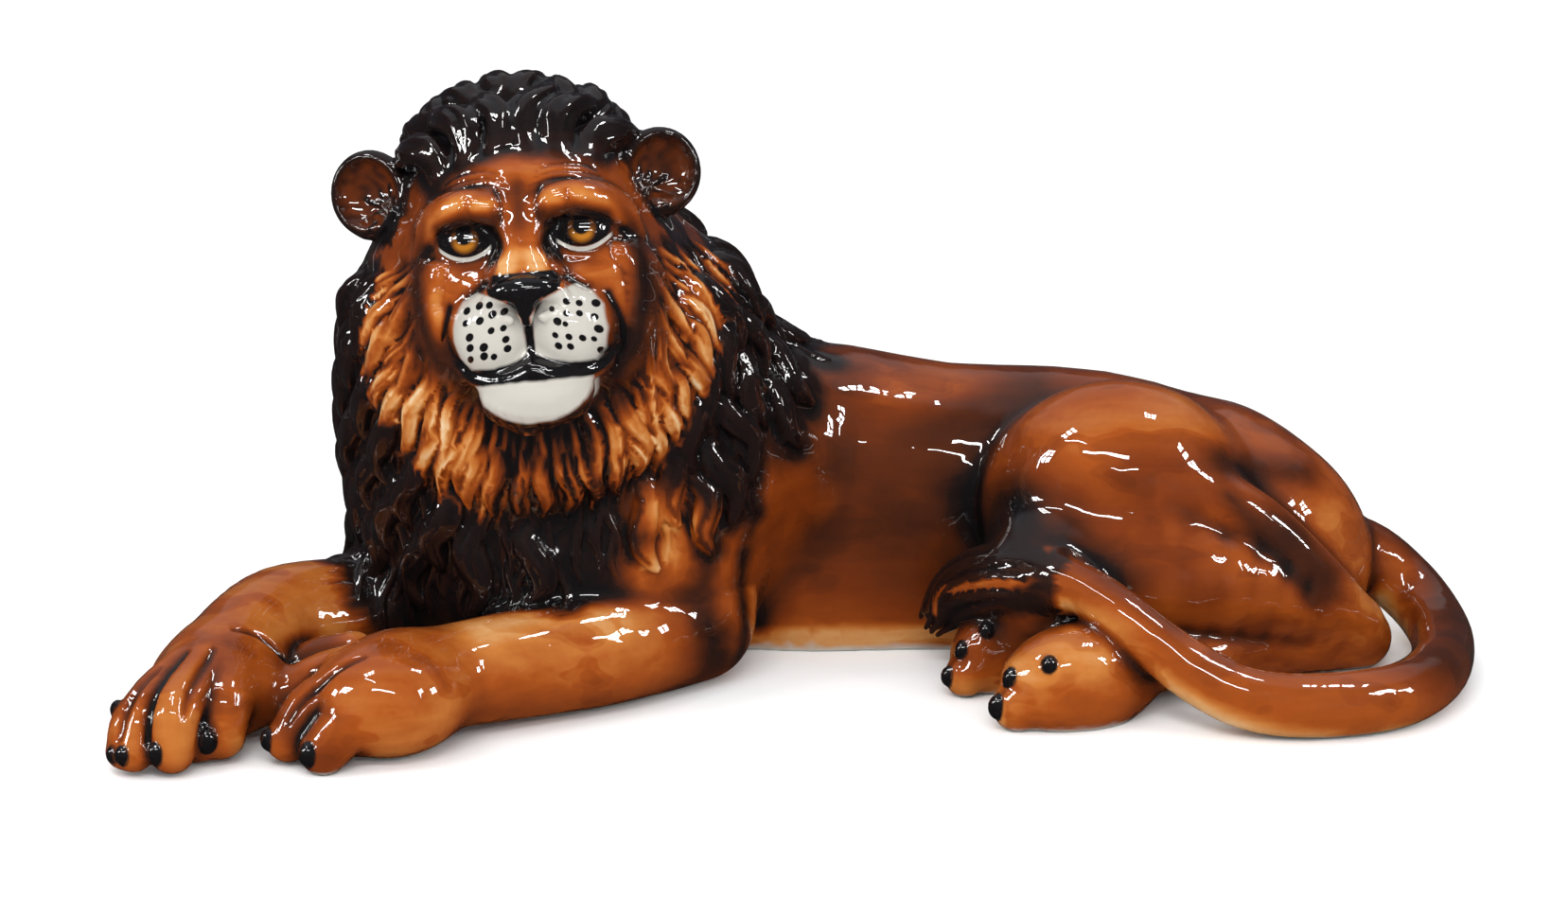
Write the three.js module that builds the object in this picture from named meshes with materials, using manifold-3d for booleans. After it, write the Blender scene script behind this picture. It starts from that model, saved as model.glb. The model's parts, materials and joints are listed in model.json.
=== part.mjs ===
// A reclining lion in glazed ceramic, one hollow casting that lies on its own underside.
// Millimetres, +Z up. +X runs from the paws to the tail, and the head looks along -Y.
// The figure is built up like clay: soft lumps and tapered limbs are blended into one
// distance field, the locks of the mane are laid over it, and its skin becomes the solid.

import * as THREE from 'three';
import Module from 'manifold-3d';

// The step of the grid that the skin is drawn on, and the finished number of triangles.
const CELL = 4;
const TRIANGLES = 9300;
// How many times finer the face is kept than the body.
const FACE_DETAIL = 6;

// The point of the floor under the middle of the figure, which becomes the origin.
const MIDDLE = new THREE.Vector3(17.35, 51.35, 0);

// The space around the clay, before it is moved to the origin.
const LOW = [-372, -134, -12];
const HIGH = [412, 234, 376];

// The head turns to the viewer, tips back and leans to one side.
const HEAD_CENTRE = [-137, 5, 246];
const HEAD_PITCH = 10;
const HEAD_ROLL = 5.5;

// Eyes and muzzle, in the frame of the face: across, up and forward.
const EYE = [30.5, 19.7, 27];
const PAD = [20, -27, 42];
// Each ear: its side, and its place in the frame of the head.
const EARS = [[-1, [-81.5, 49.5, -24]], [1, [75, 47, -24]]];
const EAR_SIZE = [22.5, 24, 12];
// The face sits a little to one side of the head's middle and turns a little more.
const FRONT_SHIFT = 4.8;
const FRONT_YAW = -3;

const TAIL_RADIUS = 17.5;

// Locks: place along the lock, thickness there and height over the skin.
const ALONG = [0, 0.15, 0.3, 0.45, 0.6, 0.75, 0.9, 1];
const THICK = [0.55, 0.85, 1, 1, 0.92, 0.75, 0.48, 0.22];
const LIFT = [-0.5, -0.25, 0, 0.1, 0.15, 0.2, 0.25, 0.25];
const LOCK_BLEND = 2.5;

// Far away from all clay.
const FAR = 60;

// Frames and turns

const WORLD = new THREE.Matrix4();

function turned(yaw = 0, pitch = 0, roll = 0) {
  const rad = THREE.MathUtils.degToRad;
  const z = new THREE.Matrix4().makeRotationZ(rad(yaw));
  const x = new THREE.Matrix4().makeRotationX(rad(pitch));
  const y = new THREE.Matrix4().makeRotationY(rad(roll));
  return z.multiply(x).multiply(y);
}

function headFrame() {
  const p = THREE.MathUtils.degToRad(HEAD_PITCH);
  const r = THREE.MathUtils.degToRad(HEAD_ROLL);
  const forward = new THREE.Vector3(0, -Math.cos(p), Math.sin(p));
  const level = new THREE.Vector3(1, 0, 0);
  const upright = new THREE.Vector3(0, Math.sin(p), Math.cos(p));
  const right = level.clone().multiplyScalar(Math.cos(r)).addScaledVector(upright, Math.sin(r));
  const up = level.clone().multiplyScalar(-Math.sin(r)).addScaledVector(upright, Math.cos(r));
  return new THREE.Matrix4().makeBasis(right, up, forward).setPosition(...HEAD_CENTRE);
}

const HEAD = headFrame();
const HEAD_BACK = HEAD.clone().invert();
const FRONT = HEAD.clone()
  .multiply(new THREE.Matrix4().makeTranslation(FRONT_SHIFT, 0, 0))
  .multiply(turned(0, 0, FRONT_YAW));

function inWorld(frame, point) {
  return new THREE.Vector3(...point).applyMatrix4(frame);
}

// Soft shapes, each with a signed distance that is good near its skin

class Egg {
  constructor(centre, radii, turn = WORLD, frame = WORLD) {
    this.frame = frame.clone().multiply(new THREE.Matrix4().makeTranslation(...centre)).multiply(turn);
    this.back = this.frame.clone().invert().elements;
    this.radii = radii;
    const e = this.frame.elements;
    this.low = [0, 0, 0];
    this.high = [0, 0, 0];
    for (let i = 0; i < 3; i++) {
      const half = Math.hypot(e[i] * radii[0], e[4 + i] * radii[1], e[8 + i] * radii[2]);
      this.low[i] = e[12 + i] - half;
      this.high[i] = e[12 + i] + half;
    }
  }

  distance(x, y, z) {
    const e = this.back;
    const r = this.radii;
    const u = (e[0] * x + e[4] * y + e[8] * z + e[12]) / r[0];
    const v = (e[1] * x + e[5] * y + e[9] * z + e[13]) / r[1];
    const w = (e[2] * x + e[6] * y + e[10] * z + e[14]) / r[2];
    const inner = Math.sqrt(u * u + v * v + w * w);
    const slope = Math.sqrt((u * u) / (r[0] * r[0]) + (v * v) / (r[1] * r[1]) + (w * w) / (r[2] * r[2]));
    return (inner * (inner - 1)) / (slope + 1e-9);
  }
}

// A tapered limb along a smooth curve through keys of x, y, z and radius.
class Limb {
  constructor(keys, steps = 4, frame = WORLD) {
    const places = keys.map((k) => inWorld(frame, k.slice(0, 3)));
    const sizes = keys.map((k) => new THREE.Vector3(k[3], 0, 0));
    const route = new THREE.CatmullRomCurve3(places, false, 'catmullrom', 0.5);
    const widths = new THREE.CatmullRomCurve3(sizes, false, 'catmullrom', 0.5);
    const count = (keys.length - 1) * steps;
    const points = route.getPoints(count);
    const radii = widths.getPoints(count);
    this.rows = points.map((p, i) => [p.x, p.y, p.z, radii[i].x]);
    this.low = [0, 1, 2].map((i) => Math.min(...this.rows.map((k) => k[i] - k[3])));
    this.high = [0, 1, 2].map((i) => Math.max(...this.rows.map((k) => k[i] + k[3])));
  }

  distance(x, y, z) {
    let best = Infinity;
    for (let i = 1; i < this.rows.length; i++) {
      const a = this.rows[i - 1];
      const b = this.rows[i];
      const dx = b[0] - a[0];
      const dy = b[1] - a[1];
      const dz = b[2] - a[2];
      const px = x - a[0];
      const py = y - a[1];
      const pz = z - a[2];
      const t = (px * dx + py * dy + pz * dz) / Math.max(dx * dx + dy * dy + dz * dz, 1e-9);
      const h = Math.min(Math.max(t, 0), 1);
      const off = Math.hypot(px - h * dx, py - h * dy, pz - h * dz);
      best = Math.min(best, off - a[3] - h * (b[3] - a[3]));
    }
    return best;
  }
}

// Smooth joins and carvings

function join(f, d, soft) {
  const h = Math.max(soft - Math.abs(f - d), 0) / soft;
  return Math.min(f, d) - h * h * soft * 0.25;
}

function carve(f, d, soft) {
  return -join(-f, d, soft);
}

class Clay {
  constructor(steps = []) {
    this.steps = steps.slice();
  }

  add(shape, soft) {
    this.steps.push({ blend: join, shape, soft });
  }

  cut(shape, soft) {
    this.steps.push({ blend: carve, shape, soft });
  }

  at(x, y, z) {
    let f = FAR;
    for (const { blend, shape, soft } of this.steps) {
      const m = soft + 4;
      if (x < shape.low[0] - m || y < shape.low[1] - m || z < shape.low[2] - m) continue;
      if (x > shape.high[0] + m || y > shape.high[1] + m || z > shape.high[2] + m) continue;
      f = blend(f, shape.distance(x, y, z), soft);
    }
    return f;
  }
}

// Body

function trunk(clay) {
  const spine = [
    [-70, 110, 112, 60],
    [0, 144, 113, 60],
    [90, 152, 100, 57],
    [180, 150, 96, 55],
    [240, 140, 84, 54],
  ];
  clay.add(new Limb(spine, 3), 10);
  clay.add(new Egg([20, 152, 50], [120, 62, 98]), 25);
  clay.add(new Egg([150, 152, 45], [130, 60, 96]), 25);
}

function chest(clay) {
  clay.add(new Egg([-115, 85, 60], [98, 85, 95]), 25);
  clay.add(new Egg([-60, 105, 110], [75, 70, 75]), 25);
}

function haunch(clay) {
  const thigh = [[152, 52, 60, 44], [225, 52, 60, 37], [285, 58, 45, 25], [322, 70, 26, 17]];
  const hamstring = [[222, 62, 112, 19], [262, 55, 92, 17], [296, 56, 62, 15], [325, 66, 30, 13]];
  const shank = [
    [328, 76, 17, 18],
    [300, 62, 18, 16],
    [262, 46, 20, 15.5],
    [222, 26, 22, 16],
    [190, 4, 24, 18],
  ];
  clay.add(new Egg([256, 116, 62], [86, 60, 71], turned(0, 0, 28)), 22);
  clay.add(new Egg([188, 88, 93], [77, 55, 71], turned(0, 0, -6)), 9);
  clay.add(new Limb(thigh), 12);
  clay.add(new Limb(hamstring), 8);
  clay.add(new Limb(shank), 5);
}

// A paw is a ball with a sole and toes: knuckle, joint and tip of each toe, and its radius.
function paw(clay, ball, radii, heading, toes) {
  clay.add(new Egg(ball, radii, turned(heading)), 12);
  const tips = [0, 1].map((i) => toes.reduce((sum, toe) => sum + toe[2][i], 0) / toes.length);
  const sole = [0, 1].map((i) => 0.35 * ball[i] + 0.65 * tips[i]);
  clay.add(new Egg([...sole, 15], [0.6 * radii[0], 0.78 * radii[1], 15], turned(heading)), 6);
  for (const [knuckle, joint, tip, r] of toes) {
    clay.add(new Limb([[...knuckle, 1.02 * r], [...joint, r], [...tip, 0.88 * r]]), 3);
  }
}

function forelegs(clay) {
  const upperArm = [[-60, 104, 140, 45], [-57, 84, 95, 40], [-52, 62, 45, 34]];
  const leftForearm = [
    [-50, 54, 33, 33],
    [-98, 12, 33, 32],
    [-141, -14, 33, 30],
    [-180, -36, 33, 28],
    [-202, -48, 33, 28],
  ];
  const rightForearm = [
    [-135, 160, 34, 33],
    [-190, 92, 34, 32],
    [-227, 60, 35, 33],
    [-252, 42, 39, 34],
    [-277, 20, 43, 33],
    [-292, -6, 42, 30],
    [-301, -24, 37, 28],
  ];
  clay.add(new Limb(upperArm, 3), 14);
  clay.add(new Limb(leftForearm), 8);
  clay.add(new Limb(rightForearm), 8);
  paw(clay, [-210, -62, 31], [44, 40, 32], 205, [
    [[-233, -22, 42], [-256, -21, 37], [-266, -24, 26], 11],
    [[-222, -44, 43], [-252, -47, 35], [-265, -53, 22], 12.5],
    [[-210, -67, 42], [-246, -74, 32], [-262, -82, 14], 14],
    [[-200, -84, 34], [-228, -88, 25], [-242, -94, 12], 15],
  ]);
  paw(clay, [-304, -42, 31], [38, 37, 30], 250, [
    [[-330, -70, 33], [-343, -87, 26], [-347, -95, 12], 11],
    [[-321, -55, 43], [-336, -83, 33], [-341, -99, 13], 12],
    [[-307, -52, 46], [-319, -89, 34], [-321, -99, 14], 14],
    [[-293, -48, 41], [-296, -72, 32], [-298, -80, 16], 15],
  ]);
}

function hindPaws(clay) {
  paw(clay, [124, 43, 20], [32, 22, 26], 20, [
    [[116, 36, 18], [106, 28, 15], [101, 24, 12], 13.5],
    [[120, 38, 28], [111, 33, 28], [107, 29, 26], 13],
    [[130, 44, 34], [124, 39, 37], [121, 36, 36], 12.5],
  ]);
  paw(clay, [161, -12, 22], [45, 29, 32], 20, [
    [[152, -16, 20], [136, -24, 17], [127, -28, 13], 16],
    [[154, -12, 30], [140, -18, 31], [132, -22, 28], 14],
    [[168, -10, 38], [157, -14, 40], [150, -19, 37], 12.5],
  ]);
}

// The tail leaves the rump, runs round on the floor and up over the hind leg.
function tail(clay) {
  const r = TAIL_RADIUS;
  const route = [
    [300, 122, 62, r + 3.5],
    [335, 127, 51, r + 2.5],
    [357, 122, 36, r + 1.5],
    [371, 103, 23, r + 0.5],
    [373, 62, r, r],
    [359, 10, r, r],
    [331, -26, r, r],
    [287, -40, r, r],
    [251, -39, 21, r - 0.5],
    [222, -30, 33, r - 1.5],
    [198, -20, 49, r - 3],
    [181, -10, 61, r - 3.5],
    [164, 3, 69, r - 3.5],
    [146, 16, 71, r - 2.5],
  ];
  const tuft = [
    [150, 15, 70, r - 1.5],
    [130, 32, 66, r + 1.5],
    [111, 50, 56, r + 1.5],
    [96, 64, 43, r - 3.5],
  ];
  clay.add(new Limb(route, 5), 6);
  clay.add(new Limb(tuft), 8);
}

// Mane without its locks

function mane(clay) {
  const front = [[-160, 84, 75, 79], [-160, 74, 150, 82], [-157, 62, 210, 80], [-142, 42, 262, 67]];
  const side = [[-88, 85, 90, 67], [-78, 88, 140, 70], [-86, 84, 190, 70]];
  const nape = [[-112, 66, 228, 62], [-70, 102, 162, 58], [-16, 134, 116, 54]];
  clay.add(new Egg([0, 45, -30], [56, 42, 46], WORLD, HEAD), 14);
  clay.add(new Egg([0, -35, -28], [87, 89, 48], WORLD, HEAD), 14);
  clay.add(new Limb(front, 3), 20);
  clay.add(new Limb(side, 3), 20);
  clay.add(new Limb(nape, 3), 20);
}

// Head

function mirrored(keys, s, radius) {
  return keys.map((k) => [s * k[0], k[1], k[2], k[3] ?? radius]);
}

function eye(clay, s) {
  const [a, b, c] = EYE;
  const brow = [[9, 35, 42, 6.5], [20, 39, 43, 9], [35, 38, 38, 10.5], [48, 31, 23, 10], [53, 17, 13, 8]];
  const fold = [[52, 16, 15, 7], [48, 3, 22, 8], [38, -2, 33, 7], [28, -3, 40, 5]];
  const upperLid = [[14, 15, 36], [20, 26, 39.5], [30.5, 30, 39], [42, 26, 34], [49, 16, 27]];
  const lowerLid = [[14, 15, 36], [21, 10, 39], [32, 8, 38], [42, 10, 33.5], [49, 16, 27]];
  clay.cut(new Egg([s * a, b, c + 23], [20, 14, 12], WORLD, FRONT), 7);
  clay.add(new Limb(mirrored(brow, s), 4, FRONT), 4);
  clay.add(new Limb(mirrored(fold, s), 4, FRONT), 6);
  clay.add(new Egg([s * a, b, c], [16.5, 14, 14.8], WORLD, FRONT), 1);
  clay.add(new Limb(mirrored(upperLid, s, 2.3), 3, FRONT), 2);
  clay.add(new Limb(mirrored(lowerLid, s, 2), 3, FRONT), 2);
}

function nose(clay) {
  const bar = [[-15.5, -7, 57, 5], [-8, -5, 62, 6.5], [8, -5, 62, 6.5], [15.5, -7, 57, 5]];
  clay.add(new Limb(bar, 4, FRONT), 3);
  clay.add(new Limb([[0, -7, 61, 8], [0, -14, 62.5, 5.5], [0, -21, 62.5, 3.2]], 4, FRONT), 4);
  for (const s of [-1, 1]) {
    const wing = [[16.5, -7, 57, 5], [19.5, -13, 57, 4.4], [16, -18.5, 59, 3.6], [9, -20, 62, 2.8]];
    clay.add(new Limb(mirrored(wing, s), 4, FRONT), 2);
    clay.cut(new Limb(mirrored([[15.5, -14, 65, 3.4], [9, -17, 69, 3]], s), 3, FRONT), 2);
  }
}

function mouth(clay) {
  const lips = [
    [-41, -44, 29, 4.5],
    [-29, -50, 45, 5.5],
    [-12, -50.5, 55, 5.5],
    [0, -47, 58, 5],
    [12, -50.5, 55, 5.5],
    [29, -50, 45, 5.5],
    [41, -44, 29, 4.5],
  ];
  clay.cut(new Limb([[0, -26, 70, 1.8], [0, -34, 68, 2.4], [0, -44, 66, 3]], 3, FRONT), 4);
  clay.add(new Limb(lips, 4, FRONT), 3);
  clay.add(new Egg([0, -45, 41], [26, 14, 17], WORLD, FRONT), 3);
  clay.add(new Egg([-1, -60, 41], [30.5, 17, 22], WORLD, FRONT), 5);
}

// Ears are cups that face forward and a little outward.
function earFrame(s, place) {
  return HEAD.clone().multiply(new THREE.Matrix4().makeTranslation(...place)).multiply(turned(0, 0, 14 * s));
}

function ear(clay, s, place) {
  const own = earFrame(s, place);
  const root = [[-26, -12, -8, 9], [-17, -15, -2, 8], [-9, -17, 0, 7], [4, -19, 1, 4]];
  clay.add(new Egg([0, 0, 0], EAR_SIZE, WORLD, own), 5);
  clay.cut(new Egg([s, 1, 9], [18.5, 19.5, 12], WORLD, own), 2.5);
  clay.add(new Limb(mirrored(root, s), 3, own), 4);
}

function head(clay) {
  clay.add(new Egg([0, 12, -15], [58, 62, 60], WORLD, FRONT), 20);
  clay.add(new Egg([0, 36, 6], [50, 30, 36], WORLD, FRONT), 12);
  for (const [s, soft] of [[-1, 10], [1, 4]]) {
    const ridge = [[6, 46, 27, 14], [5, 30, 36, 12], [6, 14, 43, 12], [8, 0, 49, 13]];
    clay.add(new Limb(mirrored(ridge, s), 4, FRONT), soft);
  }
  for (const s of [-1, 1]) {
    clay.add(new Egg([35 * s, -16, 8], [27, 44, 36], WORLD, FRONT), 14);
    clay.add(new Egg([PAD[0] * s, PAD[1], PAD[2]], [22.5, 23, 22], WORLD, FRONT), 7);
    eye(clay, s);
  }
  nose(clay);
  mouth(clay);
  for (const [s, place] of EARS) ear(clay, s, place);
}

// Locks of hair

// A fixed, even scatter between 0 and 1 for lock number n.
function vary(n, salt) {
  const v = Math.sin(n * 12.9898 + salt * 78.233) * 43758.5453;
  return v - Math.floor(v);
}

function gradient(clay, p) {
  const e = 1.5;
  const n = new THREE.Vector3();
  for (const [i, j, k] of [[1, -1, -1], [-1, -1, 1], [-1, 1, -1], [1, 1, 1]]) {
    const f = clay.at(p.x + e * i, p.y + e * j, p.z + e * k);
    n.add(new THREE.Vector3(i, j, k).multiplyScalar(f));
  }
  return n.normalize();
}

// Moves a point onto the skin and gives the normal there.
function settle(clay, p, rounds) {
  for (let i = 0; i < rounds; i++) {
    p.addScaledVector(gradient(clay, p), -clay.at(p.x, p.y, p.z));
  }
  return gradient(clay, p);
}

// The first skin met on the way from a point along a heading.
function land(clay, from, heading, reach) {
  const p = from.clone();
  for (let t = 0, i = 0; i < 70 && t < reach; i++) {
    const d = THREE.MathUtils.clamp(clay.at(p.x, p.y, p.z), -4, 12) * 0.8;
    t += d;
    p.addScaledVector(heading, d);
  }
  return p;
}

// One lock from a start, along the skin, swaying about the direction that aim gives.
function lock(clay, start, number, { aim, length, radius, sway, raised }) {
  const p = start.clone();
  let n = settle(clay, p, 3);
  const phase = vary(number, 1) * 2 * Math.PI;
  const side = vary(number, 2) < 0.5 ? -1 : 1;
  const keys = [];
  for (let i = 0; i < ALONG.length; i++) {
    if (i > 0) {
      const d = aim(p);
      d.addScaledVector(n, -d.dot(n)).normalize();
      const across = new THREE.Vector3().crossVectors(n, d);
      const w = side * sway * Math.sin(2.1 * Math.PI * ALONG[i] + 0.6 + 0.15 * phase);
      d.multiplyScalar(Math.cos(w)).addScaledVector(across, Math.sin(w));
      p.addScaledVector(d, length * (ALONG[i] - ALONG[i - 1]));
      n = settle(clay, p, 2);
    }
    const height = radius * (LIFT[i] + raised * Math.sin(Math.PI * ALONG[i]));
    const q = p.clone().addScaledVector(n, height);
    keys.push([q.x, q.y, q.z, radius * THICK[i]]);
  }
  return keys;
}

// Fat locks that stand up from the forehead and curl back over the crown.
// Each row: height and depth at the middle, number, half width, length, radius, shift.
const CREST_ROWS = [
  [60, 14, 10, 60, 62, 9, 0],
  [86, -8, 8, 50, 48, 10, 0.5],
  [90, -38, 8, 50, 50, 9.5, 0],
  [75, -64, 7, 52, 52, 9.5, 0.5],
];

function crestStarts() {
  const starts = [];
  for (const [b, c, count, half, length, radius, shift] of CREST_ROWS) {
    for (let k = 0; k < count; k++) {
      const a = -half + (2 * half * (k + shift * 0.5)) / (count - 1 + shift);
      const drop = 0.0075 * a * a;
      starts.push({ place: inWorld(HEAD, [a, b - drop, c - 0.5 * drop]), length, radius });
    }
  }
  return starts;
}

function crestAim(p) {
  const q = p.clone().applyMatrix4(HEAD_BACK);
  return new THREE.Vector3(0.012 * q.x, 0.55, -1).transformDirection(HEAD);
}

// Long locks all round the neck and chest, in shingled rings.
const RING_HEIGHTS = [286, 264, 242, 218, 196, 174, 152, 131, 110];
const RING_LOCKS = 20;

function onMane(p) {
  const q = p.clone().applyMatrix4(HEAD_BACK);
  const inRuff = q.z > -45 && (q.x / 84) ** 2 + ((q.y + 35) / 86) ** 2 < 1;
  const byEar = q.z > -80 && Math.hypot(Math.abs(q.x) - 78, q.y - 52) < 40;
  const edge = 106 + 0.2 * THREE.MathUtils.clamp(p.x + 150, 0, 100);
  const behind = p.x > 0.63 * (p.z - 184);
  return !inRuff && !byEar && !behind && p.z > edge;
}

function outerStarts(clay) {
  const starts = [];
  RING_HEIGHTS.forEach((z, ring) => {
    const t = (z - 60) / 200;
    const middle = new THREE.Vector3(-118 - 22 * t, 92 - 45 * t, z);
    for (let k = 0; k < RING_LOCKS; k++) {
      const angle = (2 * Math.PI * (k + (ring % 2 === 0 ? 0.5 : 0))) / RING_LOCKS;
      const way = new THREE.Vector3(Math.cos(angle), Math.sin(angle), 0);
      const from = middle.clone().addScaledVector(way, 260);
      const place = land(clay, from, way.clone().negate(), 260);
      if (onMane(place)) starts.push({ place, length: 53, radius: 8.5 });
    }
  });
  return starts;
}

const FACE = inWorld(HEAD, [0, 0, 30]);

function outerAim(p) {
  return p.clone().sub(FACE).normalize().multiplyScalar(0.55).add(new THREE.Vector3(0, 0, -1));
}

// The ruff: finer locks that fan out round the face, in two rings.
// Each ring: size against the face, number, length, radius, shift.
const RUFF_RINGS = [[0.97, 34, 58, 5.2, 0], [1.24, 40, 50, 5.5, 0.5]];

function ruffStarts(clay) {
  const starts = [];
  const back = new THREE.Vector3(0, 0, -1).transformDirection(HEAD);
  for (const [scale, count, length, radius, shift] of RUFF_RINGS) {
    for (let k = 0; k < count; k++) {
      const angle = (2 * Math.PI * (k + shift)) / count;
      const a = 60 * scale * Math.cos(angle);
      const b = -14 + 64 * scale * Math.sin(angle);
      if (b > 4) continue;
      const place = land(clay, inWorld(HEAD, [a + FRONT_SHIFT, b, 60]), back, 200);
      starts.push({ place, length, radius });
    }
  }
  return starts;
}

function ruffAim(p) {
  const q = p.clone().applyMatrix4(HEAD_BACK);
  const d = new THREE.Vector3(q.x - FRONT_SHIFT, q.y + 12, 0).normalize();
  d.y -= 0.45;
  d.z -= 0.15;
  return d.transformDirection(HEAD);
}

// Whether a lock keeps clear of both ears.
function offEars(keys) {
  return EARS.every(([s, place]) => {
    const back = earFrame(s, place).invert();
    return keys.every(([x, y, z]) => {
      const q = new THREE.Vector3(x, y, z).applyMatrix4(back);
      return (q.x / 27) ** 2 + (q.y / 28) ** 2 + (q.z / 17) ** 2 > 1;
    });
  });
}

function layLocks(clay) {
  const skin = new Clay(clay.steps);
  head(skin);
  const kinds = [
    { starts: outerStarts(skin), aim: outerAim, sway: 0.5, raised: 0 },
    { starts: crestStarts(), aim: crestAim, sway: 0.5, raised: 0.35 },
    { starts: ruffStarts(skin), aim: ruffAim, sway: 0.25, raised: 0 },
  ];
  let number = 0;
  for (const { starts, aim, sway, raised } of kinds) {
    for (const start of starts) {
      const length = start.length * (0.88 + 0.24 * vary(number, 3));
      const radius = start.radius * (0.9 + 0.2 * vary(number, 4));
      const keys = lock(skin, start.place, number, { aim, length, radius, sway, raised });
      if (offEars(keys)) clay.add(new Limb(keys, 2), LOCK_BLEND);
      number += 1;
    }
  }
}

function modelLion() {
  const clay = new Clay();
  trunk(clay);
  chest(clay);
  haunch(clay);
  hindPaws(clay);
  tail(clay);
  forelegs(clay);
  mane(clay);
  layLocks(clay);
  head(clay);
  return clay;
}

// Skin: the field is sampled on a grid and cut into tetrahedra

function sampleField(clay) {
  const size = [0, 1, 2].map((i) => Math.ceil((HIGH[i] - LOW[i]) / CELL) + 1);
  const values = new Float64Array(size[0] * size[1] * size[2]).fill(FAR);
  for (const { blend, shape, soft } of clay.steps) {
    const m = soft + 2.5 * CELL;
    const from = [0, 1, 2].map((i) => Math.max(Math.floor((shape.low[i] - m - LOW[i]) / CELL), 0));
    const to = [0, 1, 2].map((i) => Math.min(Math.ceil((shape.high[i] + m - LOW[i]) / CELL) + 1, size[i]));
    for (let k = from[2]; k < to[2]; k++) {
      for (let j = from[1]; j < to[1]; j++) {
        for (let i = from[0]; i < to[0]; i++) {
          const at = i + size[0] * (j + size[1] * k);
          const d = shape.distance(LOW[0] + CELL * i, LOW[1] + CELL * j, LOW[2] + CELL * k);
          values[at] = blend(values[at], d, soft);
        }
      }
    }
  }
  // The lowest layer stays empty, so that the skin closes under the floor.
  values.fill(CELL, 0, size[0] * size[1]);
  for (let at = 0; at < values.length; at++) {
    if (Math.abs(values[at]) < 1e-3) values[at] = 1e-3;
  }
  return { values, size };
}

// Six tetrahedra that share the long diagonal of a cell, as corner numbers 0 to 7.
const TETRAHEDRA = [[0, 1, 3, 7], [0, 3, 2, 7], [0, 2, 6, 7], [0, 6, 4, 7], [0, 4, 5, 7], [0, 5, 1, 7]];

function drawSkin({ values, size }) {
  const points = [];
  const faces = [];
  const seen = new Map();
  const place = (at) => {
    const i = at % size[0];
    const j = Math.floor(at / size[0]) % size[1];
    const k = Math.floor(at / (size[0] * size[1]));
    return [LOW[0] + CELL * i, LOW[1] + CELL * j, LOW[2] + CELL * k];
  };
  const crossing = (p, q) => {
    const a = Math.min(p, q);
    const b = Math.max(p, q);
    const key = a * values.length + b;
    if (!seen.has(key)) {
      const t = values[a] / (values[a] - values[b]);
      const from = place(a);
      const to = place(b);
      seen.set(key, points.length);
      points.push(from.map((v, i) => v + t * (to[i] - v)));
    }
    return seen.get(key);
  };
  const corner = [0, 1, 2, 3, 4, 5, 6, 7].map((c) => {
    return (c & 1) + size[0] * (((c >> 1) & 1) + size[1] * (c >> 2));
  });
  for (let k = 0; k < size[2] - 1; k++) {
    for (let j = 0; j < size[1] - 1; j++) {
      for (let i = 0; i < size[0] - 1; i++) {
        const base = i + size[0] * (j + size[1] * k);
        const inside = corner.filter((c) => values[base + c] < 0).length;
        if (inside === 0 || inside === 8) continue;
        for (const tetra of TETRAHEDRA) {
          const t = tetra.map((c) => base + corner[c]);
          cutTetrahedron(t, t.map((at) => values[at] < 0), crossing, faces);
        }
      }
    }
  }
  return { points, faces };
}

// Adds the one or two triangles that part the inner corners of a tetrahedron from the outer.
function cutTetrahedron(t, inner, crossing, faces) {
  const ins = [0, 1, 2, 3].filter((i) => inner[i]);
  const outs = [0, 1, 2, 3].filter((i) => !inner[i]);
  if (ins.length === 0 || outs.length === 0) return;
  // An odd order of the four corners turns the triangle round.
  const odd = (order) => {
    let swaps = 0;
    for (let i = 0; i < 4; i++) {
      for (let j = i + 1; j < 4; j++) {
        if (order[i] > order[j]) swaps += 1;
      }
    }
    return swaps % 2 === 1;
  };
  const push = (a, b, c, flip) => faces.push(flip ? [a, c, b] : [a, b, c]);
  const flip = odd([...ins, ...outs]);
  if (ins.length === 1) {
    const [a, b, c] = outs.map((o) => crossing(t[ins[0]], t[o]));
    push(a, b, c, flip);
  } else if (outs.length === 1) {
    const [a, b, c] = ins.map((n) => crossing(t[n], t[outs[0]]));
    push(a, b, c, flip);
  } else {
    const a = crossing(t[ins[0]], t[outs[0]]);
    const b = crossing(t[ins[0]], t[outs[1]]);
    const c = crossing(t[ins[1]], t[outs[1]]);
    const d = crossing(t[ins[1]], t[outs[0]]);
    push(a, b, c, flip);
    push(a, c, d, flip);
  }
}

// Keeps the outer skin only, the closed surface with the most triangles.
function outerSkin({ points, faces }) {
  const leader = points.map((_, i) => i);
  const find = (i) => {
    while (leader[i] !== i) {
      leader[i] = leader[leader[i]];
      i = leader[i];
    }
    return i;
  };
  for (const [a, b, c] of faces) {
    leader[find(a)] = find(b);
    leader[find(b)] = find(c);
  }
  const count = new Map();
  for (const [a] of faces) count.set(find(a), (count.get(find(a)) ?? 0) + 1);
  const [largest] = [...count.entries()].sort((p, q) => q[1] - p[1])[0];
  const kept = faces.filter(([a]) => find(a) === largest);
  const number = new Map();
  const out = [];
  for (const face of kept) {
    for (let i = 0; i < 3; i++) {
      if (!number.has(face[i])) {
        number.set(face[i], out.length);
        out.push(points[face[i]]);
      }
      face[i] = number.get(face[i]);
    }
  }
  return { points: out, faces: kept };
}

// Coarser skin: edges fold away in the order in which the form loses least

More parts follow.
